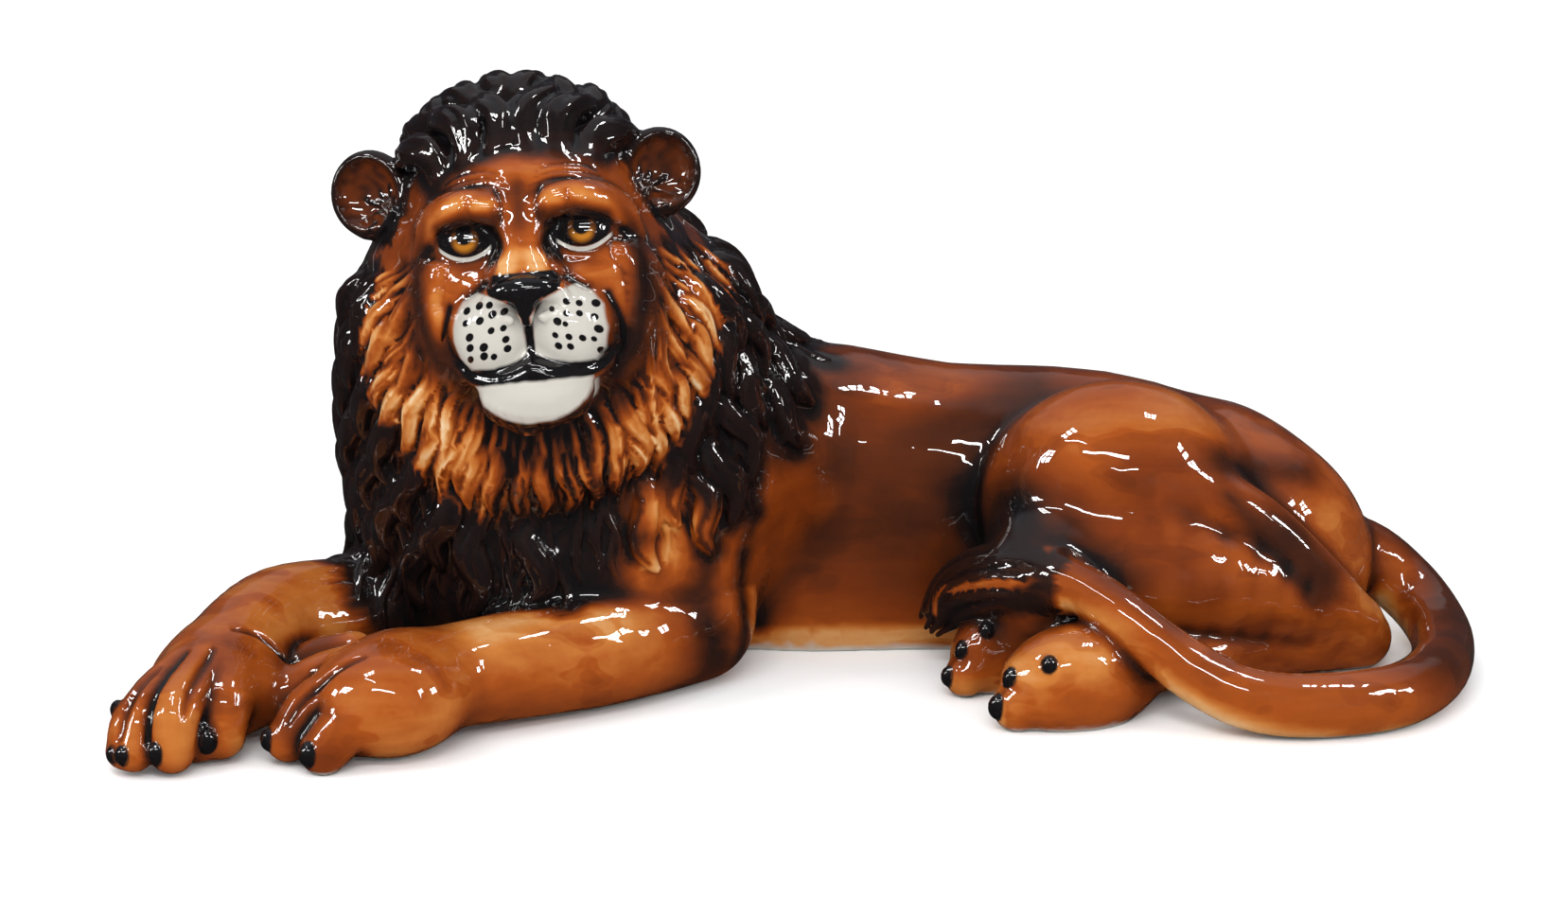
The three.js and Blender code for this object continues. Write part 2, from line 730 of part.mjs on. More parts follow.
class Queue {
  constructor() {
    this.items = [];
  }

  push(item) {
    const items = this.items;
    let i = items.length;
    items.push(item);
    while (i > 0) {
      const up = (i - 1) >> 1;
      if (items[up].cost <= item.cost) break;
      items[i] = items[up];
      i = up;
    }
    items[i] = item;
  }

  pop() {
    const items = this.items;
    const first = items[0];
    const last = items.pop();
    const n = items.length;
    if (n === 0) return first;
    let i = 0;
    for (;;) {
      let c = 2 * i + 1;
      if (c >= n) break;
      if (c + 1 < n && items[c + 1].cost < items[c].cost) c += 1;
      if (items[c].cost >= last.cost) break;
      items[i] = items[c];
      i = c;
    }
    items[i] = last;
    return first;
  }
}

function cross(p, q, r) {
  const ux = q[0] - p[0];
  const uy = q[1] - p[1];
  const uz = q[2] - p[2];
  const vx = r[0] - p[0];
  const vy = r[1] - p[1];
  const vz = r[2] - p[2];
  return [uy * vz - uz * vy, uz * vx - ux * vz, ux * vy - uy * vx];
}

// How much finer the skin stays near a point: the face shows more than the flanks.
function fineness(p) {
  const q = new THREE.Vector3(...p).applyMatrix4(HEAD_BACK);
  const onFace = q.z > 5 && Math.abs(q.x - FRONT_SHIFT) < 64 && q.y > -82 && q.y < 60;
  return onFace ? FACE_DETAIL : 1;
}

// The squared distance to the planes round a vertex, as ten sums.
function addPlane(sums, at, n, d, weight) {
  const terms = [n[0] * n[0], n[0] * n[1], n[0] * n[2], n[1] * n[1], n[1] * n[2], n[2] * n[2],
    n[0] * d, n[1] * d, n[2] * d, d * d];
  for (let i = 0; i < 10; i++) sums[10 * at + i] += weight * terms[i];
}

function errorAt(q, p) {
  const [x, y, z] = p;
  return q[0] * x * x + q[3] * y * y + q[5] * z * z + q[9]
    + 2 * (q[1] * x * y + q[2] * x * z + q[4] * y * z + q[6] * x + q[7] * y + q[8] * z);
}

// The point with the least error, or the best of the ends and the middle.
function bestPoint(q, a, b) {
  const middle = [0, 1, 2].map((i) => (a[i] + b[i]) / 2);
  const soft = 1e-3 * (q[0] + q[3] + q[5]) + 1e-9;
  const m = new THREE.Matrix3().set(
    q[0] + soft, q[1], q[2],
    q[1], q[3] + soft, q[4],
    q[2], q[4], q[5] + soft,
  );
  const right = new THREE.Vector3(
    -q[6] + soft * middle[0],
    -q[7] + soft * middle[1],
    -q[8] + soft * middle[2],
  );
  if (m.determinant() > 1e-12) {
    const p = right.applyMatrix3(m.invert()).toArray();
    const reach = Math.hypot(a[0] - b[0], a[1] - b[1], a[2] - b[2]);
    if (Math.hypot(p[0] - middle[0], p[1] - middle[1], p[2] - middle[2]) < 1.5 * reach) return p;
  }
  return [a, b, middle].sort((s, t) => errorAt(q, s) - errorAt(q, t))[0];
}

function thinOut({ points, faces }, wanted) {
  const sums = new Float64Array(10 * points.length);
  const around = points.map(() => []);
  const version = new Int32Array(points.length);
  const gone = new Uint8Array(faces.length);
  faces.forEach((face, f) => {
    const [a, b, c] = face.map((v) => points[v]);
    const n = cross(a, b, c);
    const size = Math.hypot(...n) + 1e-12;
    const unit = n.map((v) => v / size);
    const d = -(unit[0] * a[0] + unit[1] * a[1] + unit[2] * a[2]);
    for (const v of face) {
      addPlane(sums, v, unit, d, size * fineness(a));
      around[v].push(f);
    }
  });
  const queue = new Queue();
  const offer = (a, b) => {
    const q = new Float64Array(10);
    for (let i = 0; i < 10; i++) q[i] = sums[10 * a + i] + sums[10 * b + i];
    const place = bestPoint(q, points[a], points[b]);
    const cost = errorAt(q, place);
    queue.push({ cost, a, b, place, stamp: version[a] + version[b] });
  };
  const neighbours = (v) => {
    const found = new Set();
    for (const f of around[v]) for (const w of faces[f]) if (w !== v) found.add(w);
    return found;
  };
  const turnsOver = (v, other, place) => {
    for (const f of around[v]) {
      if (faces[f].includes(other)) continue;
      const before = cross(...faces[f].map((w) => points[w]));
      const after = cross(...faces[f].map((w) => (w === v ? place : points[w])));
      const dot = before[0] * after[0] + before[1] * after[1] + before[2] * after[2];
      if (dot < 0.25 * Math.hypot(...before) * Math.hypot(...after)) return true;
      if (Math.hypot(...after) < 1e-3) return true;
    }
    return false;
  };
  for (const [a, b, c] of faces) {
    if (a < b) offer(a, b);
    if (b < c) offer(b, c);
    if (c < a) offer(c, a);
  }
  let left = faces.length;
  while (left > wanted && queue.items.length > 0) {
    const { a, b, place, stamp } = queue.pop();
    if (version[a] < 0 || version[b] < 0 || version[a] + version[b] !== stamp) continue;
    const mine = neighbours(a);
    const shared = [...neighbours(b)].filter((v) => mine.has(v));
    if (!mine.has(b) || shared.length !== 2) continue;
    if (turnsOver(a, b, place) || turnsOver(b, a, place)) continue;
    for (const f of around[b]) {
      if (faces[f].includes(a)) {
        gone[f] = 1;
        left -= 1;
      } else {
        faces[f][faces[f].indexOf(b)] = a;
        around[a].push(f);
      }
    }
    around[a] = around[a].filter((f) => !gone[f]);
    for (const v of shared) around[v] = around[v].filter((f) => !gone[f]);
    points[a] = place;
    for (let i = 0; i < 10; i++) sums[10 * a + i] += sums[10 * b + i];
    version[b] = -1;
    version[a] += 1;
    around[b] = [];
    for (const v of neighbours(a)) offer(a, v);
  }
  return outerSkin({ points, faces: faces.filter((_, f) => !gone[f]) });
}

// The underside is cut flat where the figure lies on the floor.
async function cutFlat({ points, faces }) {
  const wasm = await Module();
  wasm.setup();
  const solid = (vertProperties, triVerts) => new wasm.Manifold(new wasm.Mesh({
    numProp: 3,
    vertProperties: new Float32Array(vertProperties),
    triVerts: new Uint32Array(triVerts),
  }));
  const box = new THREE.BoxGeometry(HIGH[0] - LOW[0] + 100, HIGH[1] - LOW[1] + 100, HIGH[2] + 100);
  box.translate((HIGH[0] + LOW[0]) / 2, (HIGH[1] + LOW[1]) / 2, (HIGH[2] + 100) / 2);
  const corners = [];
  const number = new Map();
  const index = [];
  for (const i of box.index.array) {
    const p = [0, 1, 2].map((j) => box.attributes.position.array[3 * i + j]);
    const key = p.join();
    if (!number.has(key)) {
      number.set(key, number.size);
      corners.push(...p);
    }
    index.push(number.get(key));
  }
  const above = solid(points.flat(), faces.flat()).intersect(solid(corners, index));
  return above.getMesh();
}

async function buildLion() {
  const fine = outerSkin(drawSkin(sampleField(modelLion())));
  const mesh = await cutFlat(thinOut(fine, TRIANGLES));
  const geometry = new THREE.BufferGeometry();
  const places = new Float32Array((mesh.vertProperties.length / mesh.numProp) * 3);
  for (let i = 0; i < places.length / 3; i++) {
    for (let j = 0; j < 3; j++) places[3 * i + j] = mesh.vertProperties[mesh.numProp * i + j];
  }
  geometry.setAttribute('position', new THREE.BufferAttribute(places, 3));
  geometry.setIndex(new THREE.BufferAttribute(new Uint32Array(mesh.triVerts), 1));
  geometry.translate(-MIDDLE.x, -MIDDLE.y, -MIDDLE.z);
  return geometry;
}

// Amber-brown glaze over the whole casting.
const glaze = new THREE.MeshStandardMaterial({ color: '#8a4517', roughness: 0.12, metalness: 0 });

const figure = new THREE.Group();
const lion = new THREE.Mesh(await buildLion(), glaze);
lion.name = 'lion';
figure.add(lion);

export default figure;
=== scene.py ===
# A reclining lion in glazed ceramic: the fine skin, the locks of hair and the painting.
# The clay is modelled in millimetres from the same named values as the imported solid, and
# is moved to that solid's own frame and turned into metres once its skin is drawn.

import json
import math

import bpy
import numpy as np
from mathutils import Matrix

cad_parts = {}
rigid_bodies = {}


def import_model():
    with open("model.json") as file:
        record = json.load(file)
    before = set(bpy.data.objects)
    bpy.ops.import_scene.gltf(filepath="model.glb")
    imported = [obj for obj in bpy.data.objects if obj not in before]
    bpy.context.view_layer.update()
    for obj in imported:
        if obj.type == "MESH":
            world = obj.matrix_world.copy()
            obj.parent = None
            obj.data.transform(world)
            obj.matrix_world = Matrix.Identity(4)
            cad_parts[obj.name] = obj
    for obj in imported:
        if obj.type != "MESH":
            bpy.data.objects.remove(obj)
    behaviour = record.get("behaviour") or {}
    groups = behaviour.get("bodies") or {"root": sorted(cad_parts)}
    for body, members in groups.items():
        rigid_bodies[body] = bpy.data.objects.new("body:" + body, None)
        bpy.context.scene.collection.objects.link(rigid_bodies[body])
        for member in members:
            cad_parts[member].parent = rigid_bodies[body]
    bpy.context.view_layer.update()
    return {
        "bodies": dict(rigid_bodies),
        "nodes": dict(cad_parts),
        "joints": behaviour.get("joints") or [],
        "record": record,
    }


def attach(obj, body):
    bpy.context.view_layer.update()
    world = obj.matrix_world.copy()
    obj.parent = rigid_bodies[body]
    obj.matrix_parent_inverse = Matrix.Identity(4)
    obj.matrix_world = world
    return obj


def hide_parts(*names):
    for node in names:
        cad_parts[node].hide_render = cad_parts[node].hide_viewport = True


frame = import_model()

import openvdb
from mathutils import Vector
from mathutils.kdtree import KDTree

MM = 0.001

# Sculpting. The body is sampled on the coarse grid and refined; hair and face on the fine one.
COARSE = 2.5
DOUBLINGS = 1
CELL = COARSE / 2 ** DOUBLINGS
TRIANGLES = 192000
LOW = np.array([-372.0, -134.0, -5.0])
HIGH = np.array([412.0, 234.0, 376.0])
MIDDLE = np.array([17.35, 51.35, 0.0])
FAR = 60.0

# The head turns to the viewer, tips back and leans to one side.
HEAD_CENTRE = (-137, 5, 246)
HEAD_PITCH = 10
HEAD_ROLL = 5.5

# Muzzle, eyes and ears, in the head's own frame: across, up and forward.
EYE = (30.5, 19.7, 27)
PAD = (20, -27, 42)
EARS = ((-1, (-81.5, 49.5, -24)), (1, (75, 47, -24)))
EAR_SIZE = (22.5, 24, 12)
# The face sits to one side of the head's middle and turns slightly the other way.
FRONT_SHIFT = 4.8
FRONT_YAW = -3
# The face is seen a little from below, so paint sits this much lower for each mm forward.
SEEN_LOWER = 0.058

TAIL_RADIUS = 17.5

# Locks: place along the lock, thickness there and height over the skin.
ALONG = (0, 0.15, 0.3, 0.45, 0.6, 0.75, 0.9, 1)
THICK = (0.55, 0.85, 1, 1, 0.92, 0.75, 0.48, 0.22)
LIFT = (-0.5, -0.25, 0, 0.1, 0.15, 0.2, 0.25, 0.25)
LOCK_BLEND = 2.5
STRAND_BLEND = 0.9


# Frames and turns

def unit(v):
    v = np.asarray(v, float)
    return v / np.linalg.norm(v, axis=-1, keepdims=True)


def turned(yaw=0, pitch=0, roll=0):
    z, x, y = np.radians([yaw, pitch, roll])
    about_z = np.array([[np.cos(z), -np.sin(z), 0], [np.sin(z), np.cos(z), 0], [0, 0, 1]])
    about_x = np.array([[1, 0, 0], [0, np.cos(x), -np.sin(x)], [0, np.sin(x), np.cos(x)]])
    about_y = np.array([[np.cos(y), 0, np.sin(y)], [0, 1, 0], [-np.sin(y), 0, np.cos(y)]])
    return about_z @ about_x @ about_y


class Frame:
    def __init__(self, origin=(0, 0, 0), axes=np.eye(3)):
        self.origin = np.asarray(origin, float)
        self.axes = np.asarray(axes, float)

    def out(self, points):
        return self.origin + np.asarray(points, float) @ self.axes.T

    def into(self, points):
        return (np.asarray(points, float) - self.origin) @ self.axes


def head_frame():
    p, r = np.radians([HEAD_PITCH, HEAD_ROLL])
    forward = np.array([0, -np.cos(p), np.sin(p)])
    level = np.array([1.0, 0, 0])
    upright = np.array([0, np.sin(p), np.cos(p)])
    right = level * np.cos(r) + upright * np.sin(r)
    up = -level * np.sin(r) + upright * np.cos(r)
    return Frame(HEAD_CENTRE, np.column_stack([right, up, forward]))


WORLD = Frame()
HEAD = head_frame()
FRONT = Frame(HEAD.out((FRONT_SHIFT, 0, 0)), HEAD.axes @ turned(roll=FRONT_YAW))


# Soft shapes, each with a signed distance that is good near its skin

class Egg:
    """An ellipsoid, turned in a frame. It takes the same margin as a limb, and has no use for it."""

    def __init__(self, centre, radii, turn=np.eye(3), frame=WORLD):
        self.centre = frame.out(centre)
        self.axes = frame.axes @ turn
        self.radii = np.asarray(radii, float)
        half = np.sqrt(((self.axes * self.radii) ** 2).sum(1))
        self.low = self.centre - half
        self.high = self.centre + half

    def distance(self, x, y, z, margin=0):
        inner = 0
        slope = 0
        d = (x - self.centre[0], y - self.centre[1], z - self.centre[2])
        for i in range(3):
            m = (self.axes[:, i] / self.radii[i]).astype(np.float32)
            u = d[0] * m[0] + d[1] * m[1] + d[2] * m[2]
            u = u * u
            inner = inner + u
            slope = slope + u * np.float32(1 / self.radii[i] ** 2)
        inner = np.sqrt(inner)
        return inner * (inner - 1) / (np.sqrt(slope) + 1e-9)


def spline(keys, steps):
    keys = np.asarray(keys, float)
    if len(keys) == 2:
        t = np.linspace(0, 1, steps + 1)[:, None]
        return keys[0] * (1 - t) + keys[1] * t
    ends = np.vstack([2 * keys[0] - keys[1], keys, 2 * keys[-1] - keys[-2]])
    rows = []
    t = np.linspace(0, 1, steps, endpoint=False)[:, None]
    for a, b, c, d in zip(ends, ends[1:], ends[2:], ends[3:]):
        rows.append(0.5 * (2 * b + (c - a) * t + (2 * a - 5 * b + 4 * c - d) * t ** 2
                           + (3 * b - a - 3 * c + d) * t ** 3))
    return np.vstack([*rows, keys[-1:]])


class Limb:
    """A tapered limb along a smooth curve through keys of x, y, z and radius."""

    def __init__(self, keys, steps=4, frame=WORLD):
        keys = np.asarray(keys, float)
        self.rows = spline(np.hstack([frame.out(keys[:, :3]), keys[:, 3:]]), steps)
        self.low = (self.rows[:, :3] - self.rows[:, 3:]).min(0)
        self.high = (self.rows[:, :3] + self.rows[:, 3:]).max(0)

    def distance(self, x, y, z, margin=None):
        """On a grid each stretch is worked out only within the margin round it."""
        whole = np.broadcast_shapes(np.shape(x), np.shape(y), np.shape(z))
        best = np.full(whole, FAR, np.float32)
        for a, b in zip(self.rows, self.rows[1:]):
            part = (Ellipsis,)
            px, py, pz = x, y, z
            if margin is not None:
                reach = margin + max(a[3], b[3])
                ranges = []
                for axis, i in zip((x, y, z), range(3)):
                    line = axis.ravel()
                    low, high = min(a[i], b[i]) - reach, max(a[i], b[i]) + reach
                    ranges.append(slice(np.searchsorted(line, low), np.searchsorted(line, high)))
                part = tuple(ranges)
                px, py, pz = x[ranges[0]], y[:, ranges[1]], z[:, :, ranges[2]]
            along = b[:3] - a[:3]
            size = max(float(along @ along), 1e-9)
            dx, dy, dz = px - a[0], py - a[1], pz - a[2]
            dot = dx * along[0] + dy * along[1] + dz * along[2]
            far = dx * dx + dy * dy + dz * dz
            h = np.clip(dot / size, 0, 1)
            far = far - h * (2 * dot - h * size)
            d = np.sqrt(np.maximum(far, 0)) - (a[3] + h * (b[3] - a[3]))
            best[part] = np.minimum(best[part], d)
        return best


# Smooth joins and carvings

def join(f, d, soft):
    h = np.maximum(soft - np.abs(f - d), 0)
    return np.minimum(f, d) - h * h * (0.25 / soft)


def carve(f, d, soft):
    return -join(-f, d, soft)


class Clay:
    """Shapes in the order in which they are joined on or carved out, each with its soft edge."""

    def __init__(self, steps=()):
        self.steps = list(steps)

    def add(self, shape, soft):
        self.steps.append((join, shape, soft))

    def cut(self, shape, soft):
        self.steps.append((carve, shape, soft))

    def at(self, points):
        points = np.asarray(points, float)
        f = np.full(len(points), FAR)
        for blend, shape, soft in self.steps:
            near = ((points > shape.low - soft - 4) & (points < shape.high + soft + 4)).all(1)
            if near.any():
                f[near] = blend(f[near], shape.distance(*points[near].T), soft)
        return f


def keyed(places, radii):
    """Keys for a limb: a radius beside each place."""
    return np.hstack([places, np.asarray(radii)[:, None]])


# Body

def trunk(clay):
    spine = [
        (-70, 110, 112, 60),
        (0, 144, 113, 60),
        (90, 152, 100, 57),
        (180, 150, 96, 55),
        (240, 140, 84, 54),
    ]
    clay.add(Limb(spine, 3), 10)
    clay.add(Egg((20, 152, 50), (120, 62, 98)), 25)
    clay.add(Egg((150, 152, 45), (130, 60, 96)), 25)


def chest(clay):
    clay.add(Egg((-115, 85, 60), (98, 85, 95)), 25)
    clay.add(Egg((-60, 105, 110), (75, 70, 75)), 25)


def haunch(clay):
    thigh = [(152, 52, 60, 44), (225, 52, 60, 37), (285, 58, 45, 25), (322, 70, 26, 17)]
    hamstring = [(222, 62, 112, 19), (262, 55, 92, 17), (296, 56, 62, 15), (325, 66, 30, 13)]
    shank = [
        (328, 76, 17, 18),
        (300, 62, 18, 16),
        (262, 46, 20, 15.5),
        (222, 26, 22, 16),
        (190, 4, 24, 18),
    ]
    clay.add(Egg((256, 116, 62), (86, 60, 71), turned(roll=28)), 22)
    clay.add(Egg((188, 88, 93), (77, 55, 71), turned(roll=-6)), 9)
    clay.add(Limb(thigh), 12)
    clay.add(Limb(hamstring), 8)
    clay.add(Limb(shank), 5)


# Each paw: its ball, the ball's radii and heading, and its toes. Each toe: knuckle, joint, tip,
# radius and the heading of its claw.
LEFT_PAW = ((-210, -62, 31), (44, 40, 32), 205, [
    ((-233, -22, 42), (-256, -21, 37), (-266, -24, 26), 11, 190),
    ((-222, -44, 43), (-252, -47, 35), (-265, -53, 22), 12.5, 200),
    ((-210, -67, 42), (-246, -74, 32), (-262, -82, 14), 14, 205),
    ((-200, -84, 34), (-228, -88, 25), (-242, -94, 12), 15, 232),
])
RIGHT_PAW = ((-304, -42, 31), (38, 37, 30), 250, [
    ((-330, -70, 33), (-343, -87, 26), (-347, -95, 12), 11, 240),
    ((-321, -55, 43), (-336, -83, 33), (-341, -99, 13), 12, 240),
    ((-307, -52, 46), (-319, -89, 34), (-321, -99, 14), 14, 230),
    ((-293, -48, 41), (-296, -72, 32), (-298, -80, 16), 15, 250),
])
FAR_HIND_PAW = ((124, 43, 20), (32, 22, 26), 20, [
    ((116, 36, 18), (106, 28, 15), (101, 24, 12), 13.5, 205),
    ((120, 38, 28), (111, 33, 28), (107, 29, 26), 13, 218),
    ((130, 44, 34), (124, 39, 37), (121, 36, 36), 12.5, 232),
])
NEAR_HIND_PAW = ((161, -12, 22), (45, 29, 32), 20, [
    ((152, -16, 20), (136, -24, 17), (127, -28, 13), 16, 205),
    ((154, -12, 30), (140, -18, 31), (132, -22, 28), 14, 222),
    ((168, -10, 38), (157, -14, 40), (150, -19, 37), 12.5, 248),
])
FORE_PAWS = (LEFT_PAW, RIGHT_PAW)
HIND_PAWS = (FAR_HIND_PAW, NEAR_HIND_PAW)


def paw(clay, ball, radii, heading, toes):
    clay.add(Egg(ball, radii, turned(heading)), 12)
    tips = np.mean([toe[2] for toe in toes], axis=0)
    sole = 0.35 * np.array(ball) + 0.65 * tips
    clay.add(Egg((sole[0], sole[1], 15), (0.6 * radii[0], 0.78 * radii[1], 15), turned(heading)), 6)
    for knuckle, joint, tip, r, _ in toes:
        clay.add(Limb([(*knuckle, 1.02 * r), (*joint, r), (*tip, 0.88 * r)]), 3)


UPPER_ARM = [(-60, 104, 140, 45), (-57, 84, 95, 40), (-52, 62, 45, 34)]
LEFT_FOREARM = [
    (-50, 54, 33, 33),
    (-98, 12, 33, 32),
    (-141, -14, 33, 30),
    (-180, -36, 33, 28),
    (-202, -48, 33, 28),
]
RIGHT_FOREARM = [
    (-135, 160, 34, 33),
    (-190, 92, 34, 32),
    (-227, 60, 35, 33),
    (-252, 42, 39, 34),
    (-277, 20, 43, 33),
    (-292, -6, 42, 30),
    (-301, -24, 37, 28),
]


def forelegs(clay):
    clay.add(Limb(UPPER_ARM, 3), 14)
    clay.add(Limb(LEFT_FOREARM), 8)
    clay.add(Limb(RIGHT_FOREARM), 8)
    for each in FORE_PAWS:
        paw(clay, *each)


def hind_paws(clay):
    for each in HIND_PAWS:
        paw(clay, *each)


# The tail leaves the rump, runs round on the floor and up over the hind leg.
TAIL = [
    (300, 122, 62, TAIL_RADIUS + 3.5),
    (335, 127, 51, TAIL_RADIUS + 2.5),
    (357, 122, 36, TAIL_RADIUS + 1.5),
    (371, 103, 23, TAIL_RADIUS + 0.5),
    (373, 62, TAIL_RADIUS, TAIL_RADIUS),
    (359, 10, TAIL_RADIUS, TAIL_RADIUS),
    (331, -26, TAIL_RADIUS, TAIL_RADIUS),
    (287, -40, TAIL_RADIUS, TAIL_RADIUS),
    (251, -39, 21, TAIL_RADIUS - 0.5),
    (222, -30, 33, TAIL_RADIUS - 1.5),
    (198, -20, 49, TAIL_RADIUS - 3),
    (181, -10, 61, TAIL_RADIUS - 3.5),
    (164, 3, 69, TAIL_RADIUS - 3.5),
    (146, 16, 71, TAIL_RADIUS - 2.5),
]
TUFT = [
    (150, 15, 70, TAIL_RADIUS - 1.5),
    (130, 32, 66, TAIL_RADIUS + 1.5),
    (111, 50, 56, TAIL_RADIUS + 1.5),
    (96, 64, 43, TAIL_RADIUS - 3.5),
]


def tail(clay):
    clay.add(Limb(TAIL, 5), 6)
    clay.add(Limb(TUFT), 8)


def mane(clay):
    front = [(-160, 84, 75, 79), (-160, 74, 150, 82), (-157, 62, 210, 80), (-142, 42, 262, 67)]
    side = [(-88, 85, 90, 67), (-78, 88, 140, 70), (-86, 84, 190, 70)]
    nape = [(-112, 66, 228, 62), (-70, 102, 162, 58), (-16, 134, 116, 54)]
    clay.add(Egg((0, 45, -30), (56, 42, 46), frame=HEAD), 14)
    clay.add(Egg((0, -35, -28), (87, 89, 48), frame=HEAD), 14)
    for limb in (front, side, nape):
        clay.add(Limb(limb, 3), 20)


# Head

def mirrored(keys, s, radius=None):
    return [(s * k[0], k[1], k[2], k[3] if len(k) > 3 else radius) for k in keys]


UPPER_LID = [(14, 15, 36), (20, 26, 39.5), (30.5, 30, 39), (42, 26, 34), (49, 16, 27)]
LOWER_LID = [(14, 15, 36), (21, 10, 39), (32, 8, 38), (42, 10, 33.5), (49, 16, 27)]


def eye(clay, s):
    a, b, c = EYE
    brow = [(9, 35, 42, 6.5), (20, 39, 43, 9), (35, 38, 38, 10.5), (48, 31, 23, 10), (53, 17, 13, 8)]
    fold = [(52, 16, 15, 7), (48, 3, 22, 8), (38, -2, 33, 7), (28, -3, 40, 5)]
    clay.cut(Egg((s * a, b, c + 23), (20, 14, 12), frame=FRONT), 7)
    clay.add(Limb(mirrored(brow, s), 4, FRONT), 4)
    clay.add(Limb(mirrored(fold, s), 4, FRONT), 6)
    clay.add(Egg((s * a, b, c), (16.5, 14, 14.8), frame=FRONT), 1)
    clay.add(Limb(mirrored(UPPER_LID, s, 2.3), 3, FRONT), 2)
    clay.add(Limb(mirrored(LOWER_LID, s, 2), 3, FRONT), 2)


def nose(clay):
    bar = [(-15.5, -7, 57, 5), (-8, -5, 62, 6.5), (8, -5, 62, 6.5), (15.5, -7, 57, 5)]
    clay.add(Limb(bar, 4, FRONT), 3)
    clay.add(Limb([(0, -7, 61, 8), (0, -14, 62.5, 5.5), (0, -21, 62.5, 3.2)], 4, FRONT), 4)
    for s in (-1, 1):
        wing = [(16.5, -7, 57, 5), (19.5, -13, 57, 4.4), (16, -18.5, 59, 3.6), (9, -20, 62, 2.8)]
        clay.add(Limb(mirrored(wing, s), 4, FRONT), 2)
        clay.cut(Limb(mirrored([(15.5, -14, 65, 3.4), (9, -17, 69, 3)], s), 3, FRONT), 2)


LIPS = [
    (-41, -44, 29, 4.5),
    (-29, -50, 45, 5.5),
    (-12, -50.5, 55, 5.5),
    (0, -47, 58, 5),
    (12, -50.5, 55, 5.5),
    (29, -50, 45, 5.5),
    (41, -44, 29, 4.5),
]


def mouth(clay):
    clay.cut(Limb([(0, -26, 70, 1.8), (0, -34, 68, 2.4), (0, -44, 66, 3)], 3, FRONT), 4)
    clay.add(Limb(LIPS, 4, FRONT), 3)
    clay.add(Egg((0, -45, 41), (26, 14, 17), frame=FRONT), 3)
    clay.add(Egg((-1, -60, 41), (30.5, 17, 22), frame=FRONT), 5)


def ear_frame(s, place):
    return Frame(HEAD.out(place), HEAD.axes @ turned(roll=14 * s))


def ear(clay, s, place):
    own = ear_frame(s, place)
    clay.add(Egg((0, 0, 0), EAR_SIZE, frame=own), 5)
    clay.cut(Egg((s, 1, 9), (18.5, 19.5, 12), frame=own), 2.5)
    root = [(-s * 26, -12, -8, 9), (-s * 17, -15, -2, 8), (-s * 9, -17, 0, 7), (s * 4, -19, 1, 4)]
    clay.add(Limb(root, 3, own), 4)


def head(clay):
    clay.add(Egg((0, 12, -15), (58, 62, 60), frame=FRONT), 20)
    clay.add(Egg((0, 36, 6), (50, 30, 36), frame=FRONT), 12)
    for s, soft in ((-1, 10), (1, 4)):
        ridge = [(6, 46, 27, 14), (5, 30, 36, 12), (6, 14, 43, 12), (8, 0, 49, 13)]
        clay.add(Limb(mirrored(ridge, s), 4, FRONT), soft)
    for s in (-1, 1):
        clay.add(Egg((35 * s, -16, 8), (27, 44, 36), frame=FRONT), 14)
        clay.add(Egg((PAD[0] * s, PAD[1], PAD[2]), (22.5, 23, 22), frame=FRONT), 7)
        eye(clay, s)
    nose(clay)
    mouth(clay)
    for s, place in EARS:
        ear(clay, s, place)


# Locks of hair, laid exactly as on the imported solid

def vary(n, salt):
    """A fixed, even scatter between 0 and 1 for number n."""
    v = np.sin(np.asarray(n, float) * 12.9898 + salt * 78.233) * 43758.5453
    return v - np.floor(v)


def gradient(clay, points):
    n = 0
    for corner in ((1, -1, -1), (-1, -1, 1), (-1, 1, -1), (1, 1, 1)):
        n = n + clay.at(points + 1.5 * np.array(corner))[:, None] * np.array(corner)
    return unit(n)


def settle(clay, points, rounds):
    for _ in range(rounds):
        points = points - gradient(clay, points) * clay.at(points)[:, None]
    return points, gradient(clay, points)


def land(clay, start, heading, reach):
    """The first skin met on the way from each point along its heading."""
    points = start.copy()
    gone = np.zeros(len(points))
    for _ in range(70):
        d = np.clip(clay.at(points), -4, 12) * 0.8 * (gone < reach)
        gone = gone + d
        points = points + heading * d[:, None]
    return points


class Locks:
    """The paths of many locks, traced side by side along the skin."""

    def __init__(self, clay, starts, first, aim, length, radius, sway, raised):
        numbers = first + np.arange(len(starts))
        self.numbers = numbers
        length = length * (0.88 + 0.24 * vary(numbers, 3))
        self.radius = radius * (0.9 + 0.2 * vary(numbers, 4))
        phase = vary(numbers, 1) * 2 * np.pi
        side = np.where(vary(numbers, 2) < 0.5, -1, 1)
        points, n = settle(clay, starts, 3)
        self.places, self.normals, self.across = [], [], []
        before = 0
        for along, lift in zip(ALONG, LIFT):
            d = aim(points)
            d = unit(d - n * (d * n).sum(1, keepdims=True))
            across = np.cross(n, d)
            if along > 0:
                w = side * sway * np.sin(2.1 * np.pi * along + 0.6 + 0.15 * phase)
                d = d * np.cos(w)[:, None] + across * np.sin(w)[:, None]
                points = points + d * (length * (along - before))[:, None]
                points, n = settle(clay, points, 2)
                before = along
            height = self.radius * (lift + raised * np.sin(np.pi * along))
            self.places.append(points + n * height[:, None])
            self.normals.append(n)
            self.across.append(np.cross(n, d))
        self.places = np.stack(self.places, 1)
        self.normals = np.stack(self.normals, 1)
        self.across = np.stack(self.across, 1)


